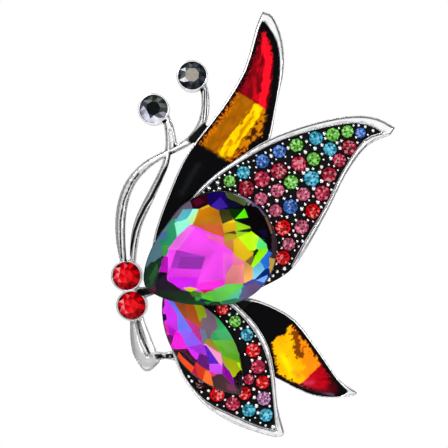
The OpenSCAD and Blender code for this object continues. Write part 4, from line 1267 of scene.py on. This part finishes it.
def navette_reach(angle):
    """Distance from the navette's centre to its outline of two arcs, along its own axes."""
    r = (NAVETTE_HALF_LENGTH ** 2 / NAVETTE_HALF_WIDTH + NAVETTE_HALF_WIDTH) / 2
    drop = r - NAVETTE_HALF_WIDTH
    s = abs(math.sin(angle))
    return -drop * s + math.sqrt(drop * drop * s * s + r * r - drop * drop)


def outline_points(reach, centre, turn, count):
    """A ring of places just inside a crystal's outline, for its foil."""
    ring = []
    for k in range(count):
        angle = turn + 2 * math.pi * k / count
        out = FOIL_SHARE * reach(angle - turn)
        ring.append((centre[0] + out * math.cos(angle), centre[1] + out * math.sin(angle)))
    return ring


def crystal_piece(name, node, points, faces, kinds, outline, facets, ground):
    """A clear cut stone with its foil, in place of a CAD crystal."""
    make_piece(name + "_crown", points, faces, crystal, [node])
    above = [face for face, (kind, index) in zip(faces, kinds) if kind in CROWN_KINDS]
    mosaic(name + "_foil", outline, facets, ground, (points, above), large_foil)


def pear():
    """The pear crystal, which lies flat. Its crown and its culet reach as far as the CAD's."""
    front = -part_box("pear_crystal")[0].y / MM
    cut = Cut(mains=12, crown=front - PEAR_GIRDLE_Z - CRYSTAL_GIRDLE, girdle=CRYSTAL_GIRDLE,
              depth=PEAR_GIRDLE_Z - FLOOR_Z - 0.6, table=0.6)
    stone, faces, kinds = brilliant(cut, lambda angle: CROWN_SHARE * pear_reach(angle),
                                    math.radians(PEAR_TURN))
    points = [(PEAR_CENTRE[0] + p[0], -PEAR_GIRDLE_Z - p[2], PEAR_CENTRE[1] + p[1]) for p in stone]
    outline = outline_points(pear_reach, PEAR_CENTRE, 0.0, 72)
    crystal_piece("pear", "pear_crystal", points, faces, kinds, outline, PEAR_FACETS, (14, 36, 20))


def navette():
    """The navette crystal, which follows the dome."""
    turn = math.radians(NAVETTE_TURN)
    cut = Cut(mains=10, crown=1.3, girdle=CRYSTAL_GIRDLE, depth=1.9, table=0.6)
    stone, faces, kinds = brilliant(cut, lambda angle: CROWN_SHARE * navette_reach(angle))
    points = seated(stone, *NAVETTE_CENTRE, NAVETTE_GIRDLE_Z, turn)
    outline = outline_points(navette_reach, NAVETTE_CENTRE, turn, 48)
    crystal_piece("navette", "navette_crystal", points, faces, kinds, outline, NAVETTE_FACETS,
                  (30, 8, 20))


# ---- Building ----

silver = silver_material()
# The foils glow with painted light; the first number is the share that glows
stone_foil = foil_material("glowing_foiled_glass", 0.8, 0.4, 0.12)
cup_foil = foil_material("glowing_chaton_glass", 0.75, 0.35, 0.04)
large_foil = foil_material("glowing_vitrail_foil", 0.8, 0.2, 0.0)
crystal = crystal_material()

cast_piece("forewing_cast", "forewing_casting", 0.14, plain_tone, ENAMEL_RIM_Z)
cast_piece("tail_cast", "tail_casting", 0.12, tail_tone, ENAMEL_RIM_Z)
cast_piece("pave_wing_cast", "pave_wing_casting", 0.125, pave_tone, STONE_RIM_Z)
cast_piece("lower_wing_cast", "lower_wing_casting", 0.12, pave_tone, STONE_RIM_Z)
cast_piece("body_cast", "body_casting", 0.11, body_tone, ENAMEL_RIM_Z, radius=body_radius,
           drop=BODY_DROP, grooves=BODY_GROOVES_AND_SHADE_BANDS)
cast_piece("pear_basket_cast", "pear_basket", 0.12, lip_tone, STONE_RIM_Z, rounds=1, drop=0)
cast_piece("navette_cup_cast", "navette_cup", 0.1, lip_tone, STONE_RIM_Z, rounds=1, drop=0)

pour("forewing_pour", ["forewing_enamel_black", "forewing_enamel_amber", "forewing_enamel_red"],
     forewing_paint)
pour("tail_pour", ["tail_enamel_black", "tail_enamel_amber", "tail_enamel_red"],
     tail_paint)

for wing, casting, spacing, reach in (("upper", "pave_wing_casting", 0.84, 9.0),
                                      ("lower", "lower_wing_casting", 0.95, 0.5)):
    groups = [node for node in sorted(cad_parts)
              if node.startswith(wing) and node.split("_", 1)[1] in GLASS_COLOURS]
    for node in groups:
        pave_group(node)
    bead_caps(wing + "_beads", casting, groups, spacing, reach)

cup_stone("head_stone_upper", RED_FACET_LIGHT_AND_SHADE, 0.2)
cup_stone("head_stone_lower", RED_FACET_LIGHT_AND_SHADE, 0.5)
cup_stone("antenna_stone_left", DARK_TABLE_FACET_LIGHT_AND_SHADE, 0.1)
cup_stone("antenna_stone_right", PALE_TABLE_FACET_LIGHT_AND_SHADE, 0.3)

pear()
navette()

pin_metal = steel_material("pin_metal", (0.7, 0.71, 0.73), 0.3, 0.2)
stem_metal = steel_material("stem_metal", (0.78, 0.79, 0.81), 0.16, 0.1)
for node, metal in (("pin_bar", pin_metal), ("hinge_rivet", pin_metal), ("catch_housing", pin_metal),
                    ("catch_lock", pin_metal), ("pin_stem", stem_metal)):
    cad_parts[node].data.materials.clear()
    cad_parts[node].data.materials.append(metal)


# ---- Studio ----

def add_floor():
    """A pale round stand below the brooch."""
    material, tree, shader = new_material("studio_floor")
    cloud = ramp_node(tree, noise_node(tree, 60.0),
                      [(0.3, (0.86, 0.86, 0.86)), (0.7, (0.9, 0.9, 0.9))])
    tree.links.new(cloud, shader.inputs["Base Color"])
    tree.links.new(cloud, shader.inputs["Emission Color"])
    shader.inputs["Emission Strength"].default_value = 0.4
    shader.inputs["Roughness"].default_value = 0.8
    bpy.ops.mesh.primitive_cylinder_add(vertices=128, radius=100 * MM, depth=1 * MM,
                                        location=(0, 0, -55 * MM))
    floor = bpy.context.object
    floor.name = "studio_floor"
    floor.data.materials.append(material)


def add_world():
    """A white room as the camera sees it, with darker sides for the silver and glass to reflect."""
    world = bpy.data.worlds.new("studio")
    bpy.context.scene.world = world
    world.use_nodes = True
    tree = world.node_tree
    background = tree.nodes["Background"]
    place = tree.nodes.new("ShaderNodeTexCoord")
    split = tree.nodes.new("ShaderNodeSeparateXYZ")
    tree.links.new(place.outputs["Generated"], split.inputs[0])
    room = ramp_node(tree, range_node(tree, split.outputs["Y"], (1, -1), (0, 1)), [
        (0.0, (0.9, 0.9, 0.9)), (0.35, (0.5, 0.5, 0.5)), (0.5, (0.03, 0.03, 0.03)),
        (0.74, (0.08, 0.08, 0.08)), (0.84, (0.5, 0.5, 0.5)), (0.93, (1.15, 1.15, 1.16)),
        (1.0, (1.15, 1.15, 1.16))])
    rays = tree.nodes.new("ShaderNodeLightPath")
    seen = mix_node(tree, "MIX", rays.outputs["Is Camera Ray"], room, (1.0, 1.0, 1.0))
    tree.links.new(seen, background.inputs["Color"])
    background.inputs["Strength"].default_value = 1.0


def add_lamp(name, place, size, power):
    """A square soft light, aimed at the brooch. Its place and size are in metres."""
    data = bpy.data.lights.new(name, "AREA")
    data.shape = "SQUARE"
    data.size = size
    data.energy = power
    lamp = bpy.data.objects.new(name, data)
    bpy.context.scene.collection.objects.link(lamp)
    lamp.location = place
    lamp.rotation_euler = (-Vector(place)).to_track_quat("-Z", "Y").to_euler()


VIEW_CENTRE = (-3.33, 0.17)
VIEW_WIDTH = 74.67
VIEW_HEIGHT = 5.5


def add_camera():
    """Straight in front, far enough to see the view's width at the height of the castings."""
    data = bpy.data.cameras.new("camera")
    data.lens = 100
    data.sensor_width = 36
    data.clip_start = 0.01
    camera = bpy.data.objects.new("camera", data)
    bpy.context.scene.collection.objects.link(camera)
    away = VIEW_WIDTH * data.lens / data.sensor_width + VIEW_HEIGHT
    camera.location = (VIEW_CENTRE[0] * MM, -away * MM, VIEW_CENTRE[1] * MM)
    camera.rotation_euler = (math.radians(90), 0, 0)
    bpy.context.scene.camera = camera


add_floor()
add_world()
add_lamp("key", (-0.22, -0.3, 0.3), 0.16, 0.9)
add_lamp("fill", (0.3, -0.28, 0.05), 0.2, 0.4)
add_lamp("back", (0.1, 0.35, 0.25), 0.2, 0.5)
add_camera()
bpy.context.scene.view_settings.view_transform = "Standard"
